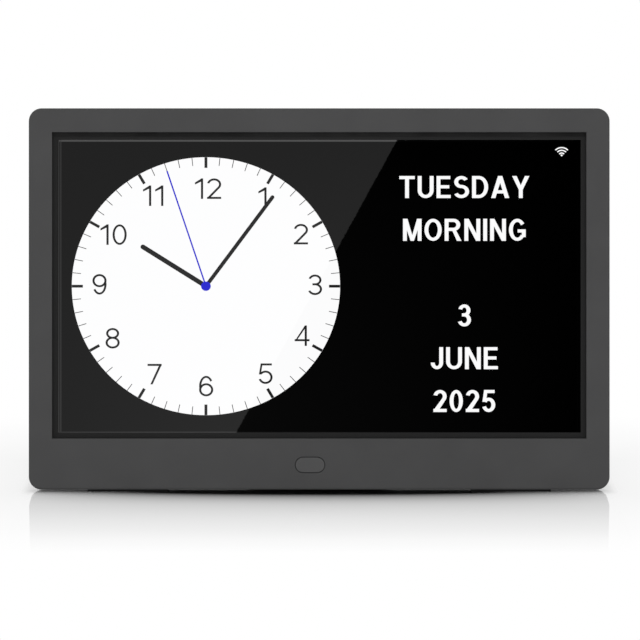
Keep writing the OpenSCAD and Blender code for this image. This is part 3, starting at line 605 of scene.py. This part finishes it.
@dataclass(frozen=True)
class Lettering:
    """A plain upright alphabet whose letters are put together from bars, slants and bowls.

    Letters are drawn one unit high. Their widths and strokes are in the same unit.
    """

    stem: float
    beam: float
    gap: float
    widths: dict[str, float]

    def bar(self, x0: float, y0: float, x1: float, y1: float) -> Points:
        """An upright rectangle, as its left and its right edge."""
        return np.array([[x0, y0], [x0, y1], [x1, y0], [x1, y1]])

    def slant(self, low: Pair, high: Pair, y0: float = 0.0, y1: float = 1.0) -> Points:
        """A stroke with level ends, from the span low at y0 up to the span high at y1."""
        return np.array([[low[0], y0], [high[0], y1], [low[1], y0], [high[1], y1]])

    def bowl(self, centre: Pair, radii: Pair, start: float, end: float) -> Points:
        """A piece of an oval ring, a stem thick at its sides and a beam thick above and below.

        Args:
            centre: Its middle.
            radii: Its outer half width and half height.
            start: The angle in degrees where it starts.
            end: The angle where it ends.

        Returns:
            Its outer and then its inner edge, with a point every 7 degrees or so.
        """
        steps = max(6, int(abs(end - start) / 7))
        inner = (radii[0] - self.stem, radii[1] - self.beam)
        return np.concatenate([arc(centre, size, start, end, steps) for size in (radii, inner)])

    def letter(self, name: str, w: float) -> list[Points]:
        """Patches of a capital letter.

        Args:
            name: The letter.
            w: Its width.

        Returns:
            Each patch as the points of its one edge and then of its other edge.
        """
        s, t = self.stem, self.beam
        wide = 1.1 * s
        left, right = self.bar(0, 0, s, 1), self.bar(w - s, 0, w, 1)
        match name:
            case "A":
                top = ((w - wide) / 2, (w + wide) / 2)
                return [
                    self.slant((0, wide), (top[0], top[0] + wide)),
                    self.slant((w - wide, w), (top[1] - wide, top[1])),
                    self.bar(0.15 * w, 0.21, 0.85 * w, 0.21 + t),
                ]
            case "D":
                middle = 0.42 * w
                return [
                    left, self.bar(0, 0, middle, t), self.bar(0, 1 - t, middle, 1),
                    self.bowl((middle, 0.5), (w - middle, 0.5), -90, 90),
                ]
            case "E":
                return [
                    left, self.bar(0, 0, w, t), self.bar(0, 1 - t, 0.97 * w, 1),
                    self.bar(0, 0.44, 0.9 * w, 0.44 + t),
                ]
            case "G":
                return [
                    self.bowl((w / 2, 0.5), (w / 2, 0.5), 35, 322),
                    self.bar(w - s, 0.17, w, 0.52), self.bar(0.52 * w, 0.52 - t, w, 0.52),
                ]
            case "I":
                return [left]
            case "J":
                return [self.bar(w - s, 0.3, w, 1), self.bowl((w / 2, 0.3), (w / 2, 0.3), 180, 360)]
            case "M":
                foot = (w / 2 - 0.42 * s, w / 2 + 0.42 * s)
                return [left, right, self.slant(foot, (0, 1.15 * s)), self.slant(foot, (w - 1.15 * s, w))]
            case "N":
                return [left, right, self.slant((w - 1.1 * s, w), (0, 1.1 * s))]
            case "O":
                return [self.bowl((w / 2, 0.5), (w / 2, 0.5), 0, 360)]
            case "R":
                middle, low = 0.52 * w, 0.45
                return [
                    left, self.bar(0, low, middle, low + t), self.bar(0, 1 - t, middle, 1),
                    self.bowl((middle, (1 + low) / 2), (0.93 * w - middle, (1 - low) / 2), -90, 90),
                    self.slant((w - 1.15 * s, w), (0.42 * w, 0.42 * w + s), 0.0, low + t / 2),
                ]
            case "S":
                return self.two_bowls(w, (28, 270), (90, -155))
            case "T":
                return [self.bar(0, 1 - t, w, 1), self.bar((w - s) / 2, 0, (w + s) / 2, 1)]
            case "U":
                return [
                    self.bar(0, 0.35, s, 1), self.bar(w - s, 0.35, w, 1),
                    self.bowl((w / 2, 0.35), (w / 2, 0.35), 180, 360),
                ]
            case "Y":
                foot = ((w - s) / 2, (w + s) / 2)
                return [
                    self.bar(foot[0], 0, foot[1], 0.42),
                    self.slant(foot, (0, 1.15 * s), 0.38), self.slant(foot, (w - 1.15 * s, w), 0.38),
                ]
            case _:
                return self.figure(name, w)

    def two_bowls(self, w: float, upper: Pair, lower: Pair) -> list[Points]:
        """Two bowls on top of each other that share one beam, the lower one a little larger.

        Args:
            w: The letter's width.
            upper: The angles where the upper bowl starts and ends.
            lower: The angles where the lower bowl starts and ends.

        Returns:
            The two bowls.
        """
        low = (1 + self.beam) / 4 + 0.012
        high = (1 + self.beam) / 2 - low
        return [
            self.bowl((w / 2, 1 - high), (0.46 * w, high), *upper),
            self.bowl((w / 2, low), (w / 2, low), *lower),
        ]

    def figure(self, name: str, w: float) -> list[Points]:
        """Patches of a figure.

        Args:
            name: The figure, from 0 to 9.
            w: Its width.

        Returns:
            Each patch as the points of its one edge and then of its other edge.
        """
        s, t = self.stem, self.beam
        match name:
            case "0":
                return [self.bowl((w / 2, 0.5), (w / 2, 0.5), 0, 360)]
            case "1":
                flag = np.array([[0, 0.7 + t], [w - 0.75 * s, 1.0], [0, 0.7], [w - 0.6 * s, 0.86]])
                return [self.bar(w - s, 0, w, 1), flag]
            case "2":
                high, turn = 0.29, math.radians(-38)
                outer = (w / 2 + w / 2 * math.cos(turn), 1 - high + high * math.sin(turn))
                inner = (w / 2 + (w / 2 - s) * math.cos(turn), 1 - high + (high - t) * math.sin(turn))
                return [
                    self.bowl((w / 2, 1 - high), (w / 2, high), 168, -38), self.bar(0, 0, w, t),
                    np.array([outer, [1.35 * s, t / 2], inner, [0, t / 2]]),
                ]
            case "3":
                top = (1 + t) / 2 + 0.024
                stub = self.bar(0.32 * w, top - t, 0.55 * w, top)
                return [*self.two_bowls(w, (165, -90), (90, -162)), stub]
            case "4":
                x0, low = 0.82 * w - s, 0.23
                tip = x0 + 0.1 * s
                return [
                    self.bar(x0, 0, x0 + s, 1), self.bar(0, low, w, low + t),
                    np.array([[0, low], [tip, 1], [1.2 * s, low + 0.7 * t], [tip, 1 - 1.5 * s]]),
                ]
            case "5":
                return [
                    self.bar(0.16 * w, 1 - t, 0.95 * w, 1),
                    self.slant((0.03 * w, 0.03 * w + 0.9 * s), (0.16 * w, 0.16 * w + 0.9 * s), 0.46),
                    self.bowl((w / 2, 0.325), (w / 2, 0.325), 146, -162),
                ]
            case "6":
                back = self.bowl((w / 2, 0.5), (w / 2, 0.5), 32, 195)
                return [back, self.bowl((w / 2, 0.32), (w / 2, 0.32), 0, 360)]
            case "7":
                foot = (0.2 * w, 0.2 * w + 1.02 * s)
                return [self.bar(0, 1 - t, w, 1), self.slant(foot, (w - 1.1 * s, w), 0, 1 - t / 2)]
            case "8":
                return self.two_bowls(w, (0, 360), (0, 360))
            case _:
                # The nine is the six, turned half round in its box
                return [np.array([w, 1.0]) - patch for patch in self.figure("6", w)]

    def draw(self, text: str, size: float) -> tuple[MeshParts, float]:
        """Draws a word from x = 0 on the line y = 0.

        Args:
            text: The word, in capitals and figures.
            size: The letters' height.

        Returns:
            Flat strips as (x, y) vertices, and the word's width.
        """
        word, x = MeshParts(), 0.0
        for name in text:
            width = self.widths.get(name, self.widths["default"])
            for patch in self.letter(name, width):
                word.add((patch + np.array([x, 0.0])) * size, grid_faces(2, len(patch) // 2))
            x += width + self.gap
        return word, (x - self.gap) * size


FIGURES = Lettering(0.108, 0.1, 0.19, {"default": 0.69, "1": 0.4, "4": 0.73})
WORDS = Lettering(
    0.176, 0.142, 0.135,
    {
        "default": 0.6, "A": 0.82, "D": 0.73, "E": 0.64, "G": 0.76, "I": 0.176, "J": 0.56, "M": 0.84,
        "N": 0.72, "O": 0.78, "R": 0.76, "S": 0.7, "T": 0.7, "U": 0.72, "Y": 0.78, "1": 0.4,
    },
)


# ------------------------------------------------------------------ the picture

# Middle of each hour's figures in millimetres from the dial's middle, to the right and up
FIGURE_PLACES = {
    1: (24.1, 37.8), 2: (40.5, 22.2), 3: (46.5, 0.6), 4: (41.0, -21.1), 5: (25.4, -37.3),
    6: (0.1, -42.6), 7: (-21.9, -37.5), 8: (-39.8, -22.2), 9: (-45.4, 0.8), 10: (-39.4, 22.0),
    11: (-22.5, 38.6), 12: (0.9, 41.6),
}


@dataclass
class Picture:
    """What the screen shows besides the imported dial, ticks and hands.

    The dial and the screen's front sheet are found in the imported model, and each flat print lies
    print_gap in front of one of them. Places that end in x or z, and the signal's foot, are
    measured in the case's frame. The lines of the sheet's edge are measured inwards from where
    the front frame covers it, edge_inset in from its outline.
    """

    case: CaseFrame
    wardrobe: Wardrobe
    print_gap: float = 0.01 * MM
    figure_height: float = 8.75 * MM
    words_x: float = 61.9 * MM
    words_height: float = 9.4 * MM
    first_line_z: float = 124.3 * MM
    line_pitch: float = 18.25 * MM
    signal_foot: Pair = (103.4 * MM, 142.05 * MM)
    signal_radii: tuple[float, ...] = (1.45 * MM, 2.6 * MM, 3.77 * MM)
    signal_line: float = 0.52 * MM
    signal_wedge: float = 0.85 * MM
    signal_angles: Pair = (45.0, 135.0)
    edge_inset: float = 1.5 * MM
    edge_gap: float = 0.03 * MM
    edge_end: float = 0.3 * MM
    side_lines: tuple[Pair, ...] = ((0.3 * MM, 0.65 * MM), (1.15 * MM, 1.5 * MM))
    bottom_line: Pair = (-0.18 * MM, 0.3 * MM)
    top_line: float = 0.75 * MM

    def to_piece(
        self, name: str, flat: MeshParts, depth: float, finish: Finish, slot: Finish | None = None
    ) -> bpy.types.Object:
        """Turns flat shapes into a piece that rides on the case.

        Args:
            name: The piece's name.
            flat: The shapes, as (x, z) points.
            depth: Their depth in the case.
            finish: Their finish.
            slot: The finish whose slot in the record they stand for, if that is another one.

        Returns:
            The piece.
        """
        upright = flat.stood(depth, FRONT)
        return upright.to_rider(name, self.case, self.wardrobe.get(finish), (slot or finish).value.name)

    def build_figures(self) -> None:
        """Sets the hours 1 to 12 upright round the dial, inside the ticks."""
        low, high = self.case.span("screen_dial")
        middle = (low + high)[[0, 2]] / 2
        ring = MeshParts()
        for hour, place in FIGURE_PLACES.items():
            word, width = FIGURES.draw(str(hour), self.figure_height)
            half = np.array([width, self.figure_height]) / 2
            ring.include(word, middle + np.array(place) * MM - half)
        self.to_piece("dial_figures", ring, low[1] - self.print_gap, Finish.INK)

    def build_words(self, depth: float) -> None:
        """Sets the day, the part of the day and the date in white, centred on one line each."""
        lines = {0: "TUESDAY", 1: "MORNING", 3: "3", 4: "JUNE", 5: "2025"}
        page = MeshParts()
        for row, text in lines.items():
            word, width = WORDS.draw(text, self.words_height)
            corner = np.array([self.words_x - width / 2, self.first_line_z - row * self.line_pitch])
            page.include(word, corner)
        self.to_piece("day_words", page, depth, Finish.WHITE)

    def build_signal(self, depth: float) -> None:
        """Draws the usual fan of three arcs over a small wedge, for a wireless signal."""
        fan = MeshParts()
        for radius in self.signal_radii:
            path = arc(self.signal_foot, (radius, radius), *self.signal_angles)
            fan.add(np.concatenate(ribbon(path, self.signal_line)), grid_faces(2, len(path)))
        rim = arc(self.signal_foot, (self.signal_wedge, self.signal_wedge), *self.signal_angles, 9)
        first = np.arange(len(rim) - 1)
        foot = np.full_like(first, len(rim))
        fan.add(np.vstack([rim, self.signal_foot]), np.stack([first, first + 1, foot], axis=1))
        self.to_piece("signal_fan", fan, depth, Finish.WHITE)

    def build_edges(self, sheet_low: Points, sheet_high: Points) -> None:
        """Lays the screen sheet's edges in its metal frame, flat strips with painted highlights.

        Args:
            sheet_low: The sheet's lowest corner.
            sheet_high: Its highest corner.
        """
        left, bottom = sheet_low[[0, 2]] + self.edge_inset
        right, top = sheet_high[[0, 2]] - self.edge_inset
        dull, bright = MeshParts(), MeshParts()
        for near, far in self.side_lines:
            dull.add(*quad(left + near, bottom, left + far, top))
            dull.add(*quad(right - far, bottom, right - near, top))
        dull.add(*quad(left, bottom + self.bottom_line[0], right, bottom + self.bottom_line[1]))
        bright.add(*quad(left + self.edge_end, top - self.top_line, right - self.edge_end, top))
        depth = sheet_low[1] - self.edge_gap
        # The strips' raised reflectance paints the highlights along the sheet's edges
        self.to_piece("screen_edges", dull, depth, Finish.EDGE, Finish.FILM)
        self.to_piece("screen_top_edge", bright, depth, Finish.TOP_EDGE, Finish.FILM)

    def build(self) -> None:
        """Builds every piece of the picture."""
        low, high = self.case.span("lcd_polarizer")
        depth = low[1] - self.print_gap
        self.build_figures()
        self.build_words(depth)
        self.build_signal(depth)
        self.build_edges(low, high)


# ------------------------------------------------------------------ the back


@dataclass
class BackDetails:
    """Small things on the back and side: screw heads, signs on the keys, contacts of a socket.

    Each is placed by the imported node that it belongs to. Contacts are measured from the middle
    of the socket's height, inwards from its mouth, and from its front.
    """

    case: CaseFrame
    wardrobe: Wardrobe
    head_radius: float = 2.2 * MM
    head_start: float = 0.02 * MM
    head_gap: float = 0.02 * MM
    head_dome: float = 0.55 * MM
    wing_half: float = 0.3 * MM
    wing_reach: float = 1.25 * MM
    wing_depth: float = 0.5 * MM
    wing_slope: float = 0.1 * MM
    print_gap: float = 0.03 * MM
    print_width: float = 0.42 * MM
    contact_offsets: tuple[float, ...] = (-3.5 * MM, -1.0 * MM, 1.0 * MM, 3.5 * MM)
    contact_span: Pair = (1.45 * MM, 9.95 * MM)
    contact_depth: float = 3.38 * MM
    contact_width: float = 1.0 * MM

    def screw_places(self) -> list[Points]:
        """Finds the middle of each packed screw's head.

        The vertices on top of the heads are sorted along the upper and the lower row of screws,
        and each row is split where two neighbours lie more than a head's radius apart.

        Returns:
            The middle of each head's top.
        """
        points = self.case.vertices("case_screws")
        tops = points[points[:, 1] > points[:, 1].max() - self.head_gap]
        upper = tops[:, 2] > self.case.height / 2
        places = []
        for row in (tops[upper], tops[~upper]):
            row = row[np.argsort(row[:, 0])]
            breaks = np.flatnonzero(np.diff(row[:, 0]) > self.head_radius) + 1
            places += [(head.min(axis=0) + head.max(axis=0)) / 2 for head in np.split(row, breaks)]
        return places

    def build_screw_heads(self, rings: int = 44, columns: int = 120) -> None:
        """Domes each case screw's head and sinks a cross into it.

        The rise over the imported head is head_gap + head_dome sqrt(1 - (r / R)^2), less wing_depth
        times a step that climbs over wing_slope at the edges of either wing of the cross.

        Args:
            rings: Rings of vertices from the middle out.
            columns: Vertices on each ring.
        """
        radius = np.repeat(np.linspace(self.head_start, self.head_radius, rings), columns)
        angle = np.tile(np.linspace(0, 2 * math.pi, columns, endpoint=False), rings)
        x, z = radius * np.cos(angle), radius * np.sin(angle)
        inside = [
            np.clip((self.wing_half - np.abs(across)) / self.wing_slope, 0, 1)
            * np.clip((self.wing_reach - np.abs(along)) / self.wing_slope, 0, 1)
            for across, along in ((x, z), (z, x))
        ]
        dome = self.head_dome * np.sqrt(np.clip(1 - (radius / self.head_radius) ** 2, 0, 1))
        rise = self.head_gap + dome - self.wing_depth * np.maximum(*inside)
        head = np.stack([x, rise, z], axis=1)
        faces = facing(head, grid_faces(rings, columns, closed=True), BACK)
        heads = MeshParts()
        for place in self.screw_places():
            heads.add(head + place, faces)
        metal = self.wardrobe.get(Finish.SCREW)
        heads.to_rider("case_screw_heads", self.case, metal, Finish.STEEL.value.name, smooth=True)

    def stroke(self, sign: MeshParts, path: Points) -> None:
        """Adds a printed line along a path of (x, z) points."""
        sign.add(np.concatenate(ribbon(path, self.print_width)), grid_faces(2, len(path)))

    def key_sign(self, key: str) -> MeshParts:
        """Draws a key's usual sign round the point (0, 0), for someone who looks at the screen.

        Args:
            key: What the key does.

        Returns:
            Flat (x, z) patches.
        """
        sign = MeshParts()
        match key:
            case "power":
                self.stroke(sign, arc((0, 0), (1.5 * MM, 1.5 * MM), 125, 415, 30))
                self.stroke(sign, np.array([[0.0, 0.5], [0.0, 2.0]]) * MM)
            case "menu":
                for z in (-1.1, 0.0, 1.1):
                    self.stroke(sign, np.array([[-1.4, z], [1.4, z]]) * MM)
            case "exit":
                self.stroke(sign, np.array([[-1.1, -1.1], [1.1, 1.1]]) * MM)
                self.stroke(sign, np.array([[-1.1, 1.1], [1.1, -1.1]]) * MM)
            case _:
                turn = math.radians({"right": 0, "up": 90, "left": 180, "down": 270}[key])
                tip = np.array([[1.4, 0.0], [-0.9, 1.35], [-0.9, -1.35]]) * MM
                spin = np.array([[math.cos(turn), math.sin(turn)], [-math.sin(turn), math.cos(turn)]])
                sign.add(tip @ spin, np.array([[0, 1, 2]]))
        return sign

    def build_key_signs(self) -> None:
        """Prints the sign of each function key on the middle of its face."""
        ink = self.wardrobe.get(Finish.PRINT)
        for key in ("power", "menu", "up", "down", "left", "right", "exit"):
            low, high = self.case.span(f"key_{key}")
            sign = MeshParts()
            sign.include(self.key_sign(key), (low + high)[[0, 2]] / 2)
            printed = sign.stood(high[1] + self.print_gap, BACK)
            printed.to_rider(f"key_{key}_sign", self.case, ink, Finish.KEY.value.name, f"key_{key}")

    def build_contacts(self) -> None:
        """Lays contact strips on the tongue of the USB socket, inwards from its mouth."""
        low, high = self.case.span("usb_port")
        mouth, middle = high[0], (low[2] + high[2]) / 2
        strips = MeshParts()
        for offset in self.contact_offsets:
            z0 = middle + offset - self.contact_width / 2
            near, far = (mouth - reach for reach in self.contact_span)
            strips.add(*quad(far, z0, near, z0 + self.contact_width))
        laid = strips.stood(low[1] + self.contact_depth, FRONT)
        gold = self.wardrobe.get(Finish.GOLD)
        laid.to_rider("usb_contacts", self.case, gold, Finish.STEEL.value.name)

    def build(self) -> None:
        """Builds every small thing."""
        self.build_screw_heads()
        self.build_key_signs()
        self.build_contacts()


# ------------------------------------------------------------------ studio


@dataclass(frozen=True)
class Lamp:
    """A square soft lamp: where it hangs, what it faces, its side and its power in watts."""

    name: str
    spot: Triple
    aim: Triple
    size: float
    power: float


@dataclass
class Studio:
    """Camera, pale floor, soft lamps and the cards that the screen mirrors.

    Fields that end in px are pixels of the photograph, from its upper left corner. A card's
    corner is a pixel across and a pixel down, and the glow that the screen mirrors there. The
    curves give, for each distance from the clock, the share of the floor's light that is mirrored
    and the share that a painted glow covers.
    """

    case: CaseFrame
    frame_px: int = 640
    case_px: float = 581.2
    centre_px: Pair = (319.2, 298.95)
    pale_card_px: tuple[Triple, ...] = (
        (30, 460, 0.47), (221, 460, 0.62), (413, 111, 0.41), (30, 111, 0.39),
    )
    dark_card_px: tuple[Triple, ...] = (
        (221, 460, 0.07), (610, 460, 0.0), (610, 111, 0.0), (413, 111, 0.0),
    )
    card_reach: float = 1.12
    lens: float = 200.0
    sensor: float = 36.0
    room_light: float = 0.8
    lamps: tuple[Lamp, ...] = (
        Lamp("front_lamp", (0.0, -1.7, 0.35), (0.0, 0.0, 0.06), 1.0, 11.5),
        Lamp("rear_lamp", (0.0, 1.4, 1.6), (0.0, 0.0, 0.05), 1.4, 8.0),
    )
    floor_half: float = 30.0
    floor_white: float = 0.97
    polish_roughness: float = 0.04
    # The mirror share is raised at the clock's foot, so the mirrored dark case paints a contact shadow
    foot_polish: float = 0.85
    foot_fall: float = 13.0 * MM
    polish: Curve = (
        (0.0, 0.44), (0.018, 0.37), (0.029, 0.32), (0.041, 0.29), (0.064, 0.21), (0.088, 0.14),
        (0.111, 0.06), (0.138, 0.0),
    )
    # Share of a camera-only white glow that paints over the floor's shading and lifts the clock's shadow
    whitening: Curve = (
        (0.0, 0.1), (0.004, 0.6), (0.009, 0.84), (0.02, 0.91), (0.041, 0.953), (0.064, 0.958),
        (0.088, 0.966), (0.111, 0.988), (0.138, 1.0),
    )
    # Beside the clock's ends the painted glow comes sooner and lifts the shadow faster
    end_clearing: float = 1.5
    end_step: float = 5.0 * MM

    @property
    def per_px(self) -> float:
        """Metres on the front face for one pixel of the photograph."""
        return self.case.width / self.case_px

    @property
    def aim(self) -> Pair:
        """The image's centre on the front face, as x and z in the case's frame."""
        middle = self.frame_px / 2
        return (
            (middle - self.centre_px[0]) * self.per_px,
            self.case.height / 2 - (middle - self.centre_px[1]) * self.per_px,
        )

    @property
    def distance(self) -> float:
        """How far the camera stands from the front face, square on."""
        return self.frame_px * self.per_px * self.lens / self.sensor

    def place_camera(self) -> None:
        """Stands the camera square to the front face, so that the view looks down by the lean."""
        data = bpy.data.cameras.new("camera")
        data.lens = self.lens
        data.sensor_width = self.sensor
        data.clip_end = 100.0
        camera = bpy.data.objects.new("camera", data)
        x, z = self.aim
        camera.location = self.case.place(np.array([[x, -self.distance, z]]))[0]
        camera.rotation_euler = (math.pi / 2 - self.case.lean, 0.0, 0.0)
        bpy.context.scene.collection.objects.link(camera)
        bpy.context.scene.camera = camera

    def light_world(self) -> None:
        """Makes a world that is white to the camera, mirrors and glass, and a soft light elsewhere."""
        world = bpy.data.worlds.new("studio")
        bpy.context.scene.world = world
        world.use_nodes = True
        tree = world.node_tree
        tree.nodes.clear()
        path = tree.nodes.new("ShaderNodeLightPath")
        seen = path.outputs["Is Camera Ray"]
        for ray in ("Is Glossy Ray", "Is Transmission Ray"):
            either = tree.nodes.new("ShaderNodeMath")
            either.operation = "MAXIMUM"
            tree.links.new(seen, either.inputs[0])
            tree.links.new(path.outputs[ray], either.inputs[1])
            seen = either.outputs[0]
        soft, white = (tree.nodes.new("ShaderNodeBackground") for _ in range(2))
        for light, strength in ((soft, self.room_light), (white, 1.0)):
            light.inputs["Color"].default_value = (1.0, 1.0, 1.0, 1.0)
            light.inputs["Strength"].default_value = strength
        mixed = mix_shaders(tree, seen, soft.outputs[0], white.outputs[0])
        tree.links.new(mixed, tree.nodes.new("ShaderNodeOutputWorld").inputs["Surface"])

    def hang_lamp(self, lamp: Lamp) -> None:
        """Hangs one lamp, turned to what it faces. Mirrors don't show it."""
        data = bpy.data.lights.new(lamp.name, "AREA")
        data.size = lamp.size
        data.energy = lamp.power
        hung = bpy.data.objects.new(lamp.name, data)
        hung.location = lamp.spot
        x, y, z = np.array(lamp.aim) - np.array(lamp.spot)
        hung.rotation_euler = (math.atan2(math.hypot(x, y), -z), 0.0, math.atan2(-x, y))
        hung.visible_glossy = False
        bpy.context.scene.collection.objects.link(hung)

    def lay_floor(self) -> None:
        """Lays a white floor with the clock's shadow, lifted by a painted glow, and mirrors its foot."""
        half = self.floor_half
        corners, face = quad(-half, -half, half, half)
        floor = MeshParts()
        floor.add(np.insert(corners, 2, 0.0, axis=1), face)
        chain = NodeChain("studio_floor")
        chain.set(base_color=(self.floor_white,) * 3, roughness=1.0, specular_ior_level=0.0)
        nodes = chain.tree.nodes
        reach = self.floor_reach(chain)
        # A camera-only glow paints the floor white away from the clock, lifting its shadow
        seen = nodes.new("ShaderNodeLightPath").outputs["Is Camera Ray"]
        white = nodes.new("ShaderNodeEmission")
        mirror = nodes.new("ShaderNodeBsdfGlossy")
        mirror.inputs["Roughness"].default_value = self.polish_roughness
        cleared = chain.curve(self.cleared_reach(chain, reach), self.whitening)
        share = chain.math("MULTIPLY", seen, cleared)
        glow_painted_floor = mix_shaders(chain.tree, share, chain.shader.outputs[0], white.outputs[0])
        # A mirror share raised at the foot paints a contact shadow with the mirrored dark case
        share = self.polish_share(chain, reach)
        polished = mix_shaders(chain.tree, share, glow_painted_floor, mirror.outputs[0])
        chain.tree.links.new(polished, nodes["Material Output"].inputs["Surface"])
        floor.to_object("studio_floor", chain.material)

    def floor_reach(self, chain: NodeChain) -> Socket:
        """Distance of a point of the floor from the clock's footprint, as deep behind as ahead.

        Args:
            chain: The floor's material.

        Returns:
            The socket that holds the distance.
        """
        ahead = chain.math("ADD", chain.math("ABSOLUTE", chain.split("Y")), float(self.case.origin[1]))
        ahead = chain.math("MAXIMUM", ahead, 0.0)
        beside = self.floor_beside(chain)
        squares = [chain.math("MULTIPLY", side, side) for side in (ahead, beside)]
        return chain.math("SQRT", chain.math("ADD", *squares))

    def floor_beside(self, chain: NodeChain) -> Socket:
        """How far a point of the floor lies beyond the clock's ends."""
        beside = chain.math("SUBTRACT", chain.math("ABSOLUTE", chain.split("X")), self.case.width / 2)
        return chain.math("MAXIMUM", beside, 0.0)

    def cleared_reach(self, chain: NodeChain, reach: Socket) -> Socket:
        """The distance that the painted glow goes by, lifting the shadow sooner past the ends.

        It is the distance times one plus end_clearing min(b / end_step, 1), with b the distance
        beyond the clock's ends.

        Args:
            chain: The floor's material.
            reach: The distance from the clock.

        Returns:
            The socket that holds the longer distance.
        """
        past = chain.math("MINIMUM", chain.math("DIVIDE", self.floor_beside(chain), self.end_step), 1.0)
        stretch = chain.math("ADD", chain.math("MULTIPLY", past, self.end_clearing), 1.0)
        return chain.math("MULTIPLY", reach, stretch)

    def polish_share(self, chain: NodeChain, reach: Socket) -> Socket:
        """How much of the floor's light is mirrored, raised at the foot to paint a contact shadow.

        With d the distance from the clock and x the distance from its middle, it is the polish
        curve at d plus foot_polish exp(-d / foot_fall) (1 - (x / half width)^2).

        Args:
            chain: The floor's material.
            reach: The distance from the clock.

        Returns:
            The socket that holds the share.
        """
        fall = chain.math("POWER", math.e, chain.math("DIVIDE", reach, -self.foot_fall))
        across = chain.math("DIVIDE", chain.split("X"), self.case.width / 2)
        bell = chain.math("SUBTRACT", 1.0, chain.math("MULTIPLY", across, across))
        bell = chain.math("MAXIMUM", bell, 0.0)
        near = chain.math("MULTIPLY", chain.math("MULTIPLY", fall, bell), self.foot_polish)
        return chain.math("MINIMUM", chain.math("ADD", near, chain.curve(reach, self.polish)), 1.0)

    def hang_card(self, name: str, corners: Points, steps: int = 13) -> None:
        """Makes one flat card that only mirrors see.

        A point s on the screen, measured from the camera's axis, mirrors the point
        s (1 + D / d) on a plane D away, with the camera d away and card_reach for D / d. The
        card is a grid between its corners, and its glow is blended between theirs.

        Args:
            name: The card's name.
            corners: Each corner's pixel across, pixel down and glow.
            steps: Vertices of the grid along each side.
        """
        side = np.linspace(0, 1, steps)
        u, v = (axis.ravel()[:, None] for axis in np.meshgrid(side, side))
        low, high = corners[0] * (1 - u) + corners[1] * u, corners[3] * (1 - u) + corners[2] * u
        across, down, glow = (low * (1 - v) + high * v).T
        spread = self.per_px * (1.0 + self.card_reach)
        middle = self.frame_px / 2
        from_axis = np.stack([across - middle, middle - down], axis=1) * spread
        flat = np.insert(self.aim + from_axis, 1, -self.distance * self.card_reach, axis=1)
        card = MeshParts()
        card.add(self.case.place(flat), grid_faces(steps, steps))
        material = bpy.data.materials.new(name)
        material.use_nodes = True
        tree = material.node_tree
        tree.nodes.clear()
        stored = tree.nodes.new("ShaderNodeAttribute")
        stored.attribute_name = "glow"
        light = tree.nodes.new("ShaderNodeEmission")
        out = tree.nodes.new("ShaderNodeOutputMaterial")
        tree.links.new(stored.outputs["Fac"], light.inputs["Strength"])
        tree.links.new(light.outputs[0], out.inputs["Surface"])
        piece = card.to_object(name, material)
        piece.data.attributes.new("glow", "FLOAT", "POINT").data.foreach_set("value", glow)
        piece.visible_camera = False
        piece.visible_diffuse = False
        piece.visible_transmission = False
        piece.visible_shadow = False

    def build(self) -> None:
        """Sets the whole studio up."""
        self.place_camera()
        self.light_world()
        for lamp in self.lamps:
            self.hang_lamp(lamp)
        self.lay_floor()
        self.hang_card("pale_card", np.array(self.pale_card_px))
        self.hang_card("dark_card", np.array(self.dark_card_px))
        bpy.context.scene.view_settings.view_transform = "Standard"


# ------------------------------------------------------------------ all together


def main() -> None:
    """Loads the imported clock, dresses it, draws its picture and sets up the studio."""
    logging.basicConfig(level=logging.INFO, format="%(name)s: %(message)s")
    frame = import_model()
    case = CaseFrame(frame["nodes"]).find(frame["joints"])
    LOG.info("the case leans %.2f degrees", math.degrees(case.lean))
    wardrobe = Wardrobe()
    wardrobe.dress_nodes(frame)
    Picture(case, wardrobe).build()
    BackDetails(case, wardrobe).build()
    Studio(case).build()


if __name__ == "__main__":
    main()
